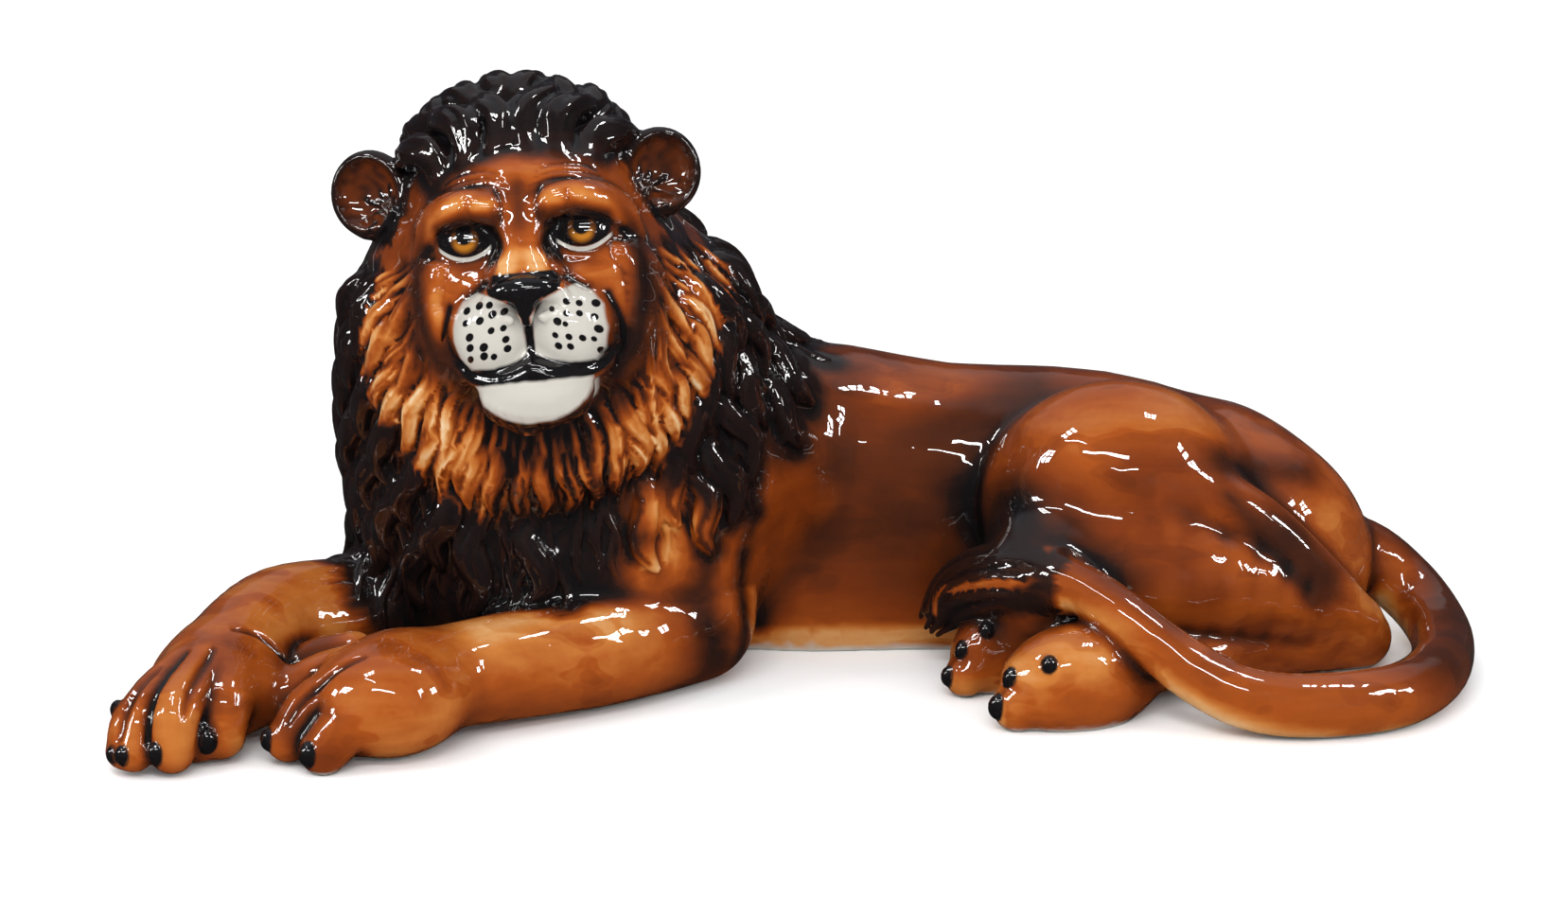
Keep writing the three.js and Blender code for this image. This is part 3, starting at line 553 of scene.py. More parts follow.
# Crest rows: height and depth at the middle, number, half width, length, radius, shift.
CREST_ROWS = [
    (60, 14, 10, 60, 62, 9, 0),
    (86, -8, 8, 50, 48, 10, 0.5),
    (90, -38, 8, 50, 50, 9.5, 0),
    (75, -64, 7, 52, 52, 9.5, 0.5),
]


def crest_starts():
    starts = []
    for b, c, count, half, length, radius, shift in CREST_ROWS:
        for k in range(count):
            a = -half + (2 * half * (k + shift * 0.5)) / (count - 1 + shift)
            drop = 0.0075 * a * a
            starts.append((*HEAD.out((a, b - drop, c - 0.5 * drop)), length, radius))
    return np.array(starts)


def crest_aim(points):
    q = HEAD.into(points)
    d = np.stack([0.012 * q[:, 0], np.full(len(q), 0.55), np.full(len(q), -1.0)], 1)
    return unit(d @ HEAD.axes.T)


LOCK_RINGS = (286, 264, 242, 218, 196, 174, 152, 131, 110)
LOCKS_ROUND = 20
LOCK_LENGTH = 53
LOCK_RADIUS = 8.5
MANE_REACH = 260


def on_mane(p, low=106, slope=0.2):
    q = HEAD.into(p)
    in_ruff = (q[:, 2] > -45) & ((q[:, 0] / 84) ** 2 + ((q[:, 1] + 35) / 86) ** 2 < 1)
    by_ear = (q[:, 2] > -80) & (np.hypot(np.abs(q[:, 0]) - 78, q[:, 1] - 52) < 40)
    edge = low + slope * np.clip(p[:, 0] + 150, 0, 100)
    behind = p[:, 0] > 0.63 * (p[:, 2] - 184)
    return ~in_ruff & ~by_ear & ~behind & (p[:, 2] > edge)


def mane_axis(z):
    """The mane's middle at a height: it leans back and down from the head to the shoulders."""
    t = (z - 60) / 200
    return np.array([-118 - 22 * t, 92 - 45 * t, 0])


def round_mane(skin, rings, count, odd, scatter):
    """Places on the skin in rings round the mane, each second ring half a step on."""
    starts, ways = [], []
    for ring, z in enumerate(rings):
        for k in range(count):
            number = 100 * ring + k
            turn = k + 0.5 * ((ring + odd) % 2) + 0.4 * scatter * vary(number, 12)
            angle = 2 * np.pi * turn / count
            way = np.array([np.cos(angle), np.sin(angle), 0])
            height = z + 8 * scatter * vary(number, 13)
            starts.append(mane_axis(z) + (0, 0, height) + MANE_REACH * way)
            ways.append(-way)
    return land(skin, np.array(starts), np.array(ways), MANE_REACH)


def outer_starts(skin):
    places = round_mane(skin, LOCK_RINGS, LOCKS_ROUND, 1, 0)
    places = places[on_mane(places)]
    return np.hstack([places, np.tile([LOCK_LENGTH, LOCK_RADIUS], (len(places), 1))])


FACE = HEAD.out((0, 0, 30))


def outer_aim(points):
    return 0.55 * unit(points - FACE) + np.array([0, 0, -1])


# Ruff rings: size against the face, number, length, radius, shift.
RUFF_RINGS = [(0.97, 34, 58, 5.2, 0), (1.24, 40, 50, 5.5, 0.5)]


def ruff_place(scale, turn):
    """A place before the face, on an oval of a size round it, after a part of a whole turn."""
    angle = 2 * np.pi * turn
    return 60 * scale * np.cos(angle), -14 + 64 * scale * np.sin(angle)


def land_on_head(skin, places):
    """Carries places that are across and up the head back to its skin."""
    starts = np.array([HEAD.out((a + FRONT_SHIFT, b, 60)) for a, b in places])
    return land(skin, starts, np.tile(-HEAD.axes[:, 2], (len(starts), 1)), 200)


def ruff_starts(skin):
    places, sizes = [], []
    for scale, count, length, radius, shift in RUFF_RINGS:
        for k in range(count):
            a, b = ruff_place(scale, (k + shift) / count)
            if b <= 4:
                places.append((a, b))
                sizes.append((length, radius))
    return np.hstack([land_on_head(skin, places), sizes])


def ruff_aim(points):
    q = HEAD.into(points)
    d = unit(np.stack([q[:, 0] - FRONT_SHIFT, q[:, 1] + 12, np.zeros(len(q))], 1))
    d = d + np.array([0, -0.45, -0.15])
    return unit(d @ HEAD.axes.T)


# Each strand that is laid, for the painting: its kind, its number and its rows.
OUTER, CREST, RUFF, TUFT_KIND, EAR_KIND = range(5)
STRANDS = []


def strand(clay, kind, rows):
    STRANDS.append((kind, np.asarray(rows)))
    clay.add(Limb(rows, 2), STRAND_BLEND)


# How a lock of each kind parts into strands: how many, how thick, how slim the lock under them.
PARTING = {OUTER: (5, 0.36, 0.86), CREST: (4, 0.36, 0.9), RUFF: (6, 0.33, 0.84)}


def part_lock(clay, kind, number, places, normals, across, radius):
    """Lays the slim lock and the strands that fan over its outer side."""
    count, share, core = PARTING[kind]
    thick = np.array(THICK)
    clay.add(Limb(keyed(places, core * radius * thick), 2), LOCK_BLEND)
    along = np.linspace(0, 1, len(places))
    for j in range(count):
        own = number * 10 + j
        spread = (j + 0.5) / count * 2 - 1 + 0.25 * (vary(own, 5) - 0.5)
        angle = spread * 1.3 + 0.5 * (vary(own, 6) - 0.5) * along
        out = radius * thick * (1.05 - share)
        lift = (out * np.cos(angle))[:, None] * normals
        aside = (out * 1.12 * np.sin(angle))[:, None] * across
        waver = radius * 0.12 * np.sin(2 * np.pi * along * (1 + vary(own, 7)) + 6 * vary(own, 8))
        path = places + lift + aside + waver[:, None] * across
        size = radius * share * thick * (0.85 + 0.3 * vary(own, 9))
        strand(clay, kind, keyed(path, size))


# The undercoat: fine strands right on the skin, which show wherever no lock covers them.
COAT_RINGS = (285, 270, 255, 240, 225, 210, 195, 180, 165, 150, 135, 121, 108, 95, 82)
COAT_STRANDS = 46
RUFF_COAT = (0.9, 1.03, 1.16, 1.3, 1.42)
RUFF_COAT_STRANDS = 78
# The numbers of its strands start here, clear of the locks' own.
COAT_FIRST = 1000


def coat_starts(skin):
    places = round_mane(skin, COAT_RINGS, COAT_STRANDS, 0, 1)
    return places[on_mane(places, 80, 0.5)]


def ruff_coat_starts(skin):
    places = []
    for ring, scale in enumerate(RUFF_COAT):
        for k in range(RUFF_COAT_STRANDS):
            turn = k + 0.5 * (ring % 2) + 0.3 * vary(200 * ring + k, 14)
            a, b = ruff_place(scale, turn / RUFF_COAT_STRANDS)
            if b <= 10:
                places.append((a, b))
    return land_on_head(skin, places)


def lay_coat(hair, skin):
    coats = [
        (OUTER, coat_starts(skin), outer_aim, 42, 2.4, 0.35),
        (RUFF, ruff_coat_starts(skin), ruff_aim, 42, 2.1, 0.15),
    ]
    for kind, starts, aim, length, radius, sway in coats:
        size = np.full(len(starts), float(radius))
        coat = Locks(skin, starts, COAT_FIRST, aim, length, size, sway, 0)
        for places, r in zip(coat.places, coat.radius):
            strand(hair, kind, keyed(places, r * np.array(THICK)))


def off_ears(places):
    """Whether a lock keeps clear of both ears."""
    for s, place in EARS:
        q = ear_frame(s, place).into(places) / (27, 28, 17)
        if ((q ** 2).sum(1) < 1).any():
            return False
    return True


def lay_locks(clay):
    """Traces the locks on clay with the head, and lays them in order over the undercoat."""
    skin = Clay(clay.steps)
    head(skin)
    kinds = [
        (OUTER, outer_starts(skin), outer_aim, 0.5, 0),
        (CREST, crest_starts(), crest_aim, 0.5, 0.35),
        (RUFF, ruff_starts(skin), ruff_aim, 0.25, 0),
    ]
    hair = Clay()
    lay_coat(hair, skin)
    first = 0
    for kind, starts, aim, sway, raised in kinds:
        locks = Locks(skin, starts[:, :3], first, aim, starts[:, 3], starts[:, 4], sway, raised)
        each = zip(locks.numbers, locks.places, locks.normals, locks.across, locks.radius)
        for number, places, normals, across, radius in each:
            if off_ears(places):
                part_lock(hair, kind, number, places, normals, across, radius)
        first += len(starts)
    return hair, skin


TUFT_STRANDS = 19
TUFT_FIRST = 900


def tuft_strands(clay):
    """The tail ends in long strands that part over the hind paw."""
    rows = spline(TUFT + [(84, 70, 26, 8)], 3)
    way = unit(np.gradient(rows[:, :3], axis=0))
    up = np.array([0, -0.6, 0.8])
    up = unit(up - way * (way @ up)[:, None])
    across = np.cross(up, way)
    along = np.linspace(0, 1, len(rows))
    for k in range(TUFT_STRANDS):
        own = TUFT_FIRST + k
        angle = np.radians(-150 + 300 * k / (TUFT_STRANDS - 1)) + 0.25 * np.sin(3 * along + 6 * vary(own, 1))
        out = rows[:, 3] * (0.9 + 0.12 * vary(own, 2) * along)
        path = rows[:, :3] + (out * np.cos(angle))[:, None] * up + (out * np.sin(angle))[:, None] * across
        size = (3.2 + vary(own, 3)) * np.interp(along, (0, 0.25, 0.7, 1), (0.5, 1, 1, 0.4))
        last = len(rows) - int(3 * vary(own, 4))
        path[:, 2] = np.maximum(path[:, 2], 3)
        strand(clay, TUFT_KIND, keyed(path, size)[:last])


# Finer relief of face and paws

def on_face(skin, a, b):
    """Points of the skin in front of places across and up the face."""
    start = FRONT.out(np.stack([a, b, np.full(len(a), 90.0)], 1))
    return land(skin, start, np.tile(-FRONT.axes[:, 2], (len(a), 1)), 170)





# Folds on each side of the face: the line, its radius and its soft edge.
FACE_CREASES = [
    ([(13, 13), (17, 4), (25, -3), (32, -8)], 1.1, 3),
    ([(49, 15), (55, 10), (59, 3)], 1, 1.5),
    ([(14, 21), (22, 29.5), (31, 33), (43, 28), (50, 18)], 1, 2),
    ([(42, -12), (47, -24), (47, -38), (41, -50)], 1.2, 2.5),
    ([(10, 30), (9, 40), (12, 47)], 1.3, 2.5),
    ([(24, 33), (27, 39), (26, 45)], 0.8, 1.5),
]
LIP_CREASE = [(-38, -45.5), (-24, -49.5), (-10, -48.5), (0, -45.5), (10, -48.5), (24, -49.5), (38, -45.5)]


def press(clay, places, radius, ends, soft):
    """Cuts a groove along places on the skin; it fades at both ends."""
    fade = np.sqrt(np.sin(np.pi * np.linspace(ends, 1 - ends, len(places))))
    clay.cut(Limb(keyed(places, radius * fade), 1), soft)


def crease(clay, skin, line, radius, soft=1.5):
    """A fine groove along a line across the face."""
    keys = spline(np.array(line, float), 4)
    press(clay, on_face(skin, keys[:, 0], keys[:, 1]), radius, 0.08, soft)


def face_creases(clay, skin):
    for s in (-1, 1):
        for k, height in enumerate((49, 52.5, 56)):
            inner = (s * (6 + 2 * k), height - 1)
            outer = (s * (44 - 2 * k), height - 4)
            crease(clay, skin, [inner, (s * 18, height + 1.5), (s * 32, height), outer], 0.8)
        for line, radius, soft in FACE_CREASES:
            crease(clay, skin, [(s * a, b) for a, b in line], radius, soft)
    crease(clay, skin, LIP_CREASE, 1)


def paw_grooves(clay, skin, toes):
    """A groove between each two toes, pressed in from above."""
    for first, second in zip(toes, toes[1:]):
        middle = (np.array(first[:3]) + np.array(second[:3])) / 2
        keys = spline(middle, 4)
        way = unit(unit(middle[2] - middle[0]) + (0, 0, 1.6))
        places = land(skin, keys + 40 * way, np.tile(-way, (len(keys), 1)), 90)
        press(clay, places, 2.7, 0.04, 3)


# Each claw's place and size, for the painting.
CLAWS = []


def lay_claws(clay, skin):
    """A dark bead sits in the skin at the front of each toe."""
    for _, _, _, toes in FORE_PAWS + HIND_PAWS:
        for _, _, tip, r, heading in toes:
            way = np.array([math.cos(math.radians(heading)), math.sin(math.radians(heading)), 0.1])
            met = land(skin, np.array([tip + 1.25 * r * way]), -way[None, :], 60)[0]
            size = 0.36 * r
            CLAWS.append((met - 0.35 * size * way, size))
            clay.add(Egg(CLAWS[-1][0], (size, size, 1.25 * size)), 0.8)


def ear_tufts(clay):
    """Low ridges of hair fan over the hollow of each ear, from its inner lower edge."""
    for s, place in EARS:
        own = ear_frame(s, place)
        for k in range(7):
            angle = math.radians(-70 + 24 * k)
            far = 15 + 7 * vary(k, 20)
            rows = []
            for t in (0, 0.5, 1):
                a = -s * (15 - far * t * math.cos(angle))
                b = -10 + far * t * math.sin(angle) - 2 * t
                dish = 12 * math.sqrt(max(0.0, 1 - ((a - s) / 18.5) ** 2 - ((b - 1) / 19.5) ** 2))
                rows.append((*own.out((a, b, 9 - dish + 0.4)), 2.2 - 1.5 * t))
            strand(clay, EAR_KIND, np.array(rows))


# Sampling and the skin

def axes_at(cell):
    counts = np.ceil((HIGH - LOW) / cell).astype(int) + 1
    lines = [(LOW[i] + cell * np.arange(counts[i])).astype(np.float32) for i in range(3)]
    return lines[0][:, None, None], lines[1][None, :, None], lines[2][None, None, :]


def sample(field, clay, cell):
    """Blends the shapes of the clay into the sampled field, each within its own box."""
    x, y, z = axes_at(cell)
    for blend, shape, soft in clay.steps:
        margin = soft + 2.5 * cell
        first = np.floor((shape.low - margin - LOW) / cell).astype(int)
        last = np.ceil((shape.high + margin - LOW) / cell).astype(int) + 1
        first = np.clip(first, 0, field.shape)
        last = np.clip(last, 0, field.shape)
        if (last <= first).any():
            continue
        box = tuple(slice(a, b) for a, b in zip(first, last))
        d = shape.distance(x[box[0]], y[:, box[1]], z[:, :, box[2]], margin)
        field[box] = blend(field[box], d, soft)


def refined(field):
    """The field on a grid of half the step, with smooth values in between."""
    for axis in range(3):
        a = np.moveaxis(field, axis, 0)
        out = np.empty((2 * len(a) - 1, *a.shape[1:]), np.float32)
        out[::2] = a
        out[1::2] = (a[:-1] + a[1:]) / 2
        out[3:-3:2] = (9 * (a[1:-2] + a[2:-1]) - a[:-3] - a[3:]) / 16
        field = np.moveaxis(out, 0, axis)
    return np.ascontiguousarray(field)


def sculpt():
    """The whole lion as a field on the fine grid."""
    base = Clay()
    for part in (trunk, chest, haunch, hind_paws, tail, forelegs, mane):
        part(base)
    hair, skin = lay_locks(base)
    tuft_strands(hair)
    detail = Clay()
    head(detail)
    face_creases(detail, skin)
    for _, _, _, toes in FORE_PAWS:
        paw_grooves(detail, skin, toes)
    lay_claws(detail, skin)
    ear_tufts(detail)
    field = np.full([len(line.ravel()) for line in axes_at(COARSE)], FAR, np.float32)
    sample(field, base, COARSE)
    for _ in range(DOUBLINGS):
        field = refined(field)
    sample(field, hair, CELL)
    sample(field, detail, CELL)
    height = (LOW[2] + CELL * np.arange(field.shape[2])).astype(np.float32)
    return np.maximum(field, -height)


def blurred(field, reach):
    """The mean of the field over a cube of cells, twice."""
    width = 2 * reach + 1
    for _ in range(2):
        for axis in range(3):
            a = np.moveaxis(field, axis, 0)
            wider = np.concatenate([np.repeat(a[:1], reach + 1, 0), a, np.repeat(a[-1:], reach, 0)])
            total = np.cumsum(wider, 0)
            field = np.moveaxis((total[width:] - total[:-width]) / width, 0, axis)
    return field


def read_field(field, points):
    """The field's value at points, linear between the grid's corners."""
    q = (points - LOW) / CELL
    cell = np.clip(np.floor(q).astype(int), 0, np.array(field.shape) - 2)
    t = (q - cell).astype(np.float32)
    value = 0
    for corner in np.ndindex(2, 2, 2):
        at = cell + corner
        weight = np.prod(np.where(corner, t, 1 - t), axis=1)
        value = value + weight * field[at[:, 0], at[:, 1], at[:, 2]]
    return value


def field_normals(field, points):
    n = []
    for i in range(3):
        step = np.zeros(3)
        step[i] = CELL
        n.append(read_field(field, points + step) - read_field(field, points - step))
    return unit(np.stack(n, 1))


def draw_skin(field):
    grid = openvdb.FloatGrid(background=3 * CELL)
    grid.copyFromArray(np.clip(field, -3 * CELL, 3 * CELL))
    places, quads = grid.convertToQuads()
    return places * CELL + LOW, quads


def outer_part(places, faces):
    """Keeps the largest connected surface, and drops what is sealed inside."""
    label = np.arange(len(places))
    while True:
        least = label[faces].min(1)
        new = label.copy()
        for i in range(faces.shape[1]):
            np.minimum.at(new, faces[:, i], least)
        new = new[new]
        if (new == label).all():
            break
        label = new
    largest = np.bincount(label).argmax()
    kept = label[faces[:, 0]] == largest
    used = np.unique(faces[kept])
    number = np.zeros(len(places), int)
    number[used] = np.arange(len(used))
    return places[used], number[faces[kept]]


def mesh_of(name, places, faces):
    mesh = bpy.data.meshes.new(name)
    size = faces.shape[1]
    mesh.vertices.add(len(places))
    mesh.vertices.foreach_set("co", places.astype(np.float32).ravel())
    mesh.loops.add(faces.size)
    mesh.loops.foreach_set("vertex_index", faces.astype(np.int32).ravel())
    mesh.polygons.add(len(faces))
    mesh.polygons.foreach_set("loop_start", np.arange(len(faces), dtype=np.int32) * size)
    mesh.update(calc_edges=True)
    mesh.validate()
    return mesh


def on_front_of_head(points):
    q = FRONT.into(points)
    return (q[:, 2] > 8) & (np.abs(q[:, 0]) < 60) & (q[:, 1] > -78) & (q[:, 1] < 58)


def thinned(places, faces):
    """Folds the skin down to the wanted number of triangles, and leaves the face as it is."""
    mesh = mesh_of("skin", places, faces)
    lump = bpy.data.objects.new("skin", mesh)
    bpy.context.scene.collection.objects.link(lump)
    free = lump.vertex_groups.new(name="free")
    free.add(np.flatnonzero(~on_front_of_head(places)).tolist(), 1.0, "REPLACE")
    fold = lump.modifiers.new("fold", "DECIMATE")
    fold.ratio = min(1, TRIANGLES / (2 * len(faces)))
    fold.vertex_group = "free"
    fold.use_collapse_triangulate = True
    done = bpy.data.meshes.new_from_object(lump.evaluated_get(bpy.context.evaluated_depsgraph_get()))
    bpy.data.objects.remove(lump)
    points = np.empty(3 * len(done.vertices), np.float32)
    done.vertices.foreach_get("co", points)
    corners = np.empty(len(done.loops), np.int32)
    done.loops.foreach_get("vertex_index", corners)
    return points.reshape(-1, 3).astype(float), corners.reshape(-1, 3)


# Painting, in numbers for each point of the skin

# Tone runs from 0, black-brown, through chocolate, rust, orange and honey to 1, cream.

def smooth_step(low, high, v):
    t = np.clip((v - low) / (high - low), 0, 1)
    return t * t * (3 - 2 * t)


def line_distance(points, lines):
    far = np.full(len(points), np.inf)
    for line in lines:
        keys = [(*key, 0) for key in line]
        far = np.minimum(far, Limb(keys, 3).distance(*points.T))
    return far


def paint(tone, points, width, value, lines, strength):
    """Draws the tone towards a value along soft airbrush lines."""
    weight = strength * np.exp(-(line_distance(points, lines) / width) ** 2)
    tone += (value - tone) * weight


def airbrush(tone, points, strokes):
    """Paints strokes in order; each is a width, a tone, a strength and its lines."""
    for width, value, strength, *lines in strokes:
        paint(tone, points, width, value, lines, strength)


def part_distance(points, part):
    clay = Clay()
    part(clay)
    return clay.at(points)


def base_tone(points):
    """The base coat: the body's, then the haunch's and the forelegs' over it."""
    tone = np.full(len(points), 0.42)
    for part, value in ((haunch, 0.5), (forelegs, 0.61)):
        tone[part_distance(points, part) < 2.5] = value
    return tone


def strand_paint(points):
    """The nearest strand of each point: its kind, place along it, number, and the gap to it."""
    tree = KDTree(sum(4 * len(rows) for _, rows in STRANDS))
    kinds, alongs, numbers, sizes = [], [], [], []
    for n, (kind, rows) in enumerate(STRANDS):
        fine = spline(rows, 4)
        for i, row in enumerate(fine):
            tree.insert(row[:3], len(kinds))
            kinds.append(kind)
            alongs.append(i / (len(fine) - 1))
            numbers.append(n)
            sizes.append(row[3])
    tree.balance()
    found = [tree.find(p)[1:] for p in points]
    index = np.array([f[0] for f in found])
    gap = np.array([f[1] for f in found]) - np.array(sizes)[index]
    return np.array(kinds)[index], np.array(alongs)[index], np.array(numbers)[index], gap


# Airbrush strokes: width, tone, strength, then one or more lines through places on the skin.
# Back: dark behind the mane, an orange patch, then a dark band; the same on the far side.
BACK_STROKES = [
    (26, 0.34, 1, [(16, 87, 166), (33, 139, 168), (25, 87, 144), (38, 94, 131)]),
    (15, 0.58, 1, [(58, 120, 155), (94, 130, 152)], [(77, 190, 152), (100, 195, 140)]),
    (15, 0.22, 1, [(143, 129, 150), (98, 106, 133), (71, 97, 125)]),
    (15, 0.24, 1, [(143, 175, 150), (98, 198, 133), (60, 205, 125)]),
    (24, 0.28, 1, [(33, 90, 116), (94, 95, 109)], [(33, 212, 118), (110, 210, 109)]),
    (14, 0.42, 1, [(14, 82, 92), (40, 91, 66)], [(10, 220, 92), (60, 214, 60)]),
    (14, 0.2, 0.8, [(57, 90, 93), (71, 93, 76)]),
    (16, 0.26, 0.7, [(20, 92, 72), (60, 92, 60), (96, 90, 50)]),
    # Near black in the fold where the flank meets the front of the thigh: painted shade.
    (18, 0.1, 1, [(104, 92, 95), (112, 80, 75), (100, 50, 60)]),
    (18, 0.05, 1, [(126, 60, 95), (118, 30, 60)]),
    (13, 0.34, 1, [(22, 90, 48), (71, 93, 43)]),
]
# Haunch: orange on its height, with painted shade in its hollows and along its front. The first stroke
# is painted shade behind the elbow, over the cream of the belly.
HAUNCH_STROKES = [
    (7, 0.12, 1, [(-16, 92, 34), (-14, 92, 18)]),
    (24, 0.58, 1, [(150, 60, 138), (175, 52, 142), (222, 60, 146)]),
    (20, 0.38, 0.85, [(138, 55, 120), (150, 42, 112)], [(200, 40, 118), (242, 43, 113)]),
    (12, 0.2, 0.9, [(245, 59, 125), (273, 79, 116), (295, 87, 111)]),
    (18, 0.12, 0.9, [(274, 40, 92), (290, 42, 78), (303, 42, 62)]),
    (18, 0.64, 1, [(312, 73, 82), (325, 81, 56), (327, 52, 44)]),
    (13, 0.5, 1, [(242, 39, 92), (263, 30, 73), (282, 30, 51)]),
    (6, 0.1, 0.7, [(247, 42, 110), (271, 38, 82), (295, 36, 52)]),
    (16, 0.02, 1, [(128, 50, 102), (138, 32, 88), (152, 26, 86)]),
    (13, 0.2, 0.8, [(172, 17, 82), (192, 10, 74)]),
    (16, 0.4, 1, [(204, 22, 90), (230, 16, 64)]),
    (10, 0.1, 0.85, [(205, -5, 50), (240, 8, 38), (270, 22, 30)]),
    (11, 0.64, 0.9, [(215, 20, 38), (243, 28, 36), (276, 42, 36)]),
    (12, 0.62, 0.9, [(290, 42, 24), (330, 62, 28)]),
    (5, 0.2, 0.6, [(290, 46, 44), (316, 56, 38)]),
]


def paint_body(tone, points):
    """Brown flank and haunch, with a band of cream low on the belly."""
    x, y, z = points.T
    airbrush(tone, points, BACK_STROKES)
    belly = (z < 30) & (x > -22) & (x < 120) & (y < 110)
    tone[belly] += (0.76 - tone[belly]) * smooth_step(21, 13, z[belly])
    airbrush(tone, points, HAUNCH_STROKES)


TAIL_STROKES = [
    (22, 0.2, 0.7, [(389, 50, 18), (386, 90, 26)]),
    (16, 0.22, 0.8, [(172, 7, 86), (190, -18, 74), (205, -22, 62)]),
]


def paint_tail(tone, points, normals):
    """Cream on the side of the tail that faces down and into the loop, rust on the outer side."""
    near = Limb(TAIL, 5).distance(*points.T) < 3
    light = normals @ unit((-0.62, 0.05, -0.78))
    dark = normals @ unit((0.75, 0.35, 0.55))
    outer = smooth_step(300, 365, points[:, 0])
    own = 0.47 + 0.4 * smooth_step(0, 0.8, light) - 0.26 * smooth_step(0, 0.9, dark) * outer
    tone[near] = own[near]
    tone[Limb(TUFT).distance(*points.T) < 3] = 0.08
    airbrush(tone, points, TAIL_STROKES)


LEG_STROKES = [
    # Left forearm: honey along the top and darker low down, partly its own paint and partly painted light
    # and shade; painted shade towards the elbow and in the fold behind it.
    (15, 0.9, 1, [(-160, -36, 60), (-137, -20, 62), (-92, -6, 62)]),
    (15, 0.42, 0.85, [(-176, -66, 20), (-117, -34, 12), (-60, 10, 12)]),
    (14, 0.5, 0.7, [(-67, -4, 45), (-57, 8, 28)]),
    (18, 0.08, 1, [(-40, 10, 62), (-36, 18, 30), (-34, 24, 14)]),
    (7, 0.5, 0.8, [(-56, 8, 86), (-55, 8, 50)], [(-31, 28, 76), (-31, 30, 50)]),
    (6, 0.08, 1, [(-22, 42, 80), (-22, 38, 45), (-24, 38, 16)]),
    # Right forearm: orange, with painted shade where it goes under the mane.
    (15, 0.6, 1, [(-287, -10, 70), (-249, 20, 72)]),
    (12, 0.78, 0.8, [(-287, -45, 57), (-268, -20, 50), (-255, -5, 45)]),
    (14, 0.1, 0.95, [(-212, 20, 70), (-205, 22, 50)], [(-219, 40, 70), (-196, 60, 66)]),
    # Between the forearms and under the chest all is painted shade.
    (12, 0.04, 0.95, [(-196, 10, 55), (-159, -3, 66), (-118, 0, 70), (-80, 8, 72)]),
]


def polygon_distance(a, b, corners):
    """How far a place is outside a convex outline, negative inside; corners go clockwise."""
    far = np.full(len(a), -np.inf)
    for (a0, b0), (a1, b1) in zip(corners, corners[1:] + corners[:1]):
        size = math.hypot(a1 - a0, b1 - b0)
        far = np.maximum(far, ((a0 - a) * (b1 - b0) - (b0 - b) * (a1 - a0)) / size)
    return far


NOSE_OUTLINE = [
    (-16, 0.5),
    (16, 0.5),
    (20.5, -4),
    (18.5, -10),
    (11, -13.5),
    (-11, -13.5),
    (-18.5, -10),
    (-20.5, -4),
]
PAD_OUTLINE = [
    (2.4, -23),
    (10, -14.5),
    (18, -10.5),
    (26, -8),
    (34, -12),
    (39.5, -20),
    (41, -32),
    (38.5, -42),
    (33, -48),
    (20, -48),
    (8, -45),
    (2.4, -42),
]
LIP_OUTLINE = [
    (-45, -42),
    (-20, -40),
    (20, -40),
    (45, -42),
    (38, -53),
    (28, -57.5),
    (-28, -57.5),
    (-38, -53),
]
EYE_PAINT = (31, 20.2)


def seen_on_face(points):
    """Across, up and forward on the face; up is taken as the viewer sees it."""
    a, b, c = FRONT.into(points).T
    return a, b - SEEN_LOWER * c, c


def face_masks(points):
    """How far each point is outside the white paint, the black nose, and the lips and eye liner."""
    a, b, c = seen_on_face(points)
    side = np.abs(a)
    front = np.where(c > 0, 0, 30)
    pads = polygon_distance(side, b, PAD_OUTLINE)
    chin = np.maximum((np.hypot((a + 1) / 31, (b + 56) / 22.5) - 1) * 22.5, b + 56.5)
    stem = np.maximum(side - 2.1 - 0.75 * np.clip(b + 23, 0, 11), np.maximum(b + 12, -46 - b))
    black = np.minimum(polygon_distance(a, b, NOSE_OUTLINE), stem)
    lips = polygon_distance(a, b, LIP_OUTLINE)
    x = side - EYE_PAINT[0] - 0.4
    y = b - EYE_PAINT[1]
    liner = (np.hypot(x / 15.8, y / np.where(y > 0, 9.4, 9.2)) - 1) * 9
    return np.minimum(pads, chin) + front, black + front, np.minimum(lips, liner) + front


# The same on both sides of the face, across and up it.
FACE_STROKES = [
    (11, 0.58, 1, [(0, 50), (30, 50)]),
    # Painted shade in the crease over each brow.
    (3, 0.34, 0.8, [(6, 41), (20, 46.5), (36, 45.5), (50, 36), (57, 22)]),
    (5, 0.3, 1, [(0, 45), (0, 20)]),
    (6, 0.7, 1, [(17, 35), (31, 36), (44, 31), (50, 21)]),
    (3.5, 0.42, 0.6, [(12, 33), (24, 30)], [(25, 40), (29, 33)]),
    (9, 0.66, 1, [(42, 4), (47, -10), (48, -24)]),
    (7, 0.72, 1, [(24, 0), (32, -6)]),
    (7, 0.83, 1, [(0, 8), (12, 7)], [(0, 3), (14, 2)]),
    (5, 0.52, 0.7, [(0, 19), (7, 18)]),
    # Painted shade under each brow, over the eye and down its inner corner.
    (4.5, 0.12, 0.85, [(13, 30), (15, 22), (13, 14)], [(16, 29), (30, 31), (44, 27)]),
    (3, 0.14, 0.8, [(14, 13), (17, 7)]),
    # Painted shade in the fold under each eye.
    (3.5, 0.3, 0.7, [(16, 2), (24, -5), (32, -9)]),
    # Dark along the face's edge and under the chin: partly the mane's own dark paint, partly painted shade.
    (6.5, 0.12, 1, [(60, 28), (61, 0), (58, -24), (52, -44)]),
    (7, 0.1, 0.95, [(49, -38), (42, -54), (24, -76), (0, -84)]),
    # Painted shade in the fold at the eye's outer corner and in the fold down the cheek.
    (4, 0.15, 0.85, [(52, 17), (58, 9)]),
    (2.5, 0.12, 0.7, [(42, -14), (45, -28), (44, -44)]),
]


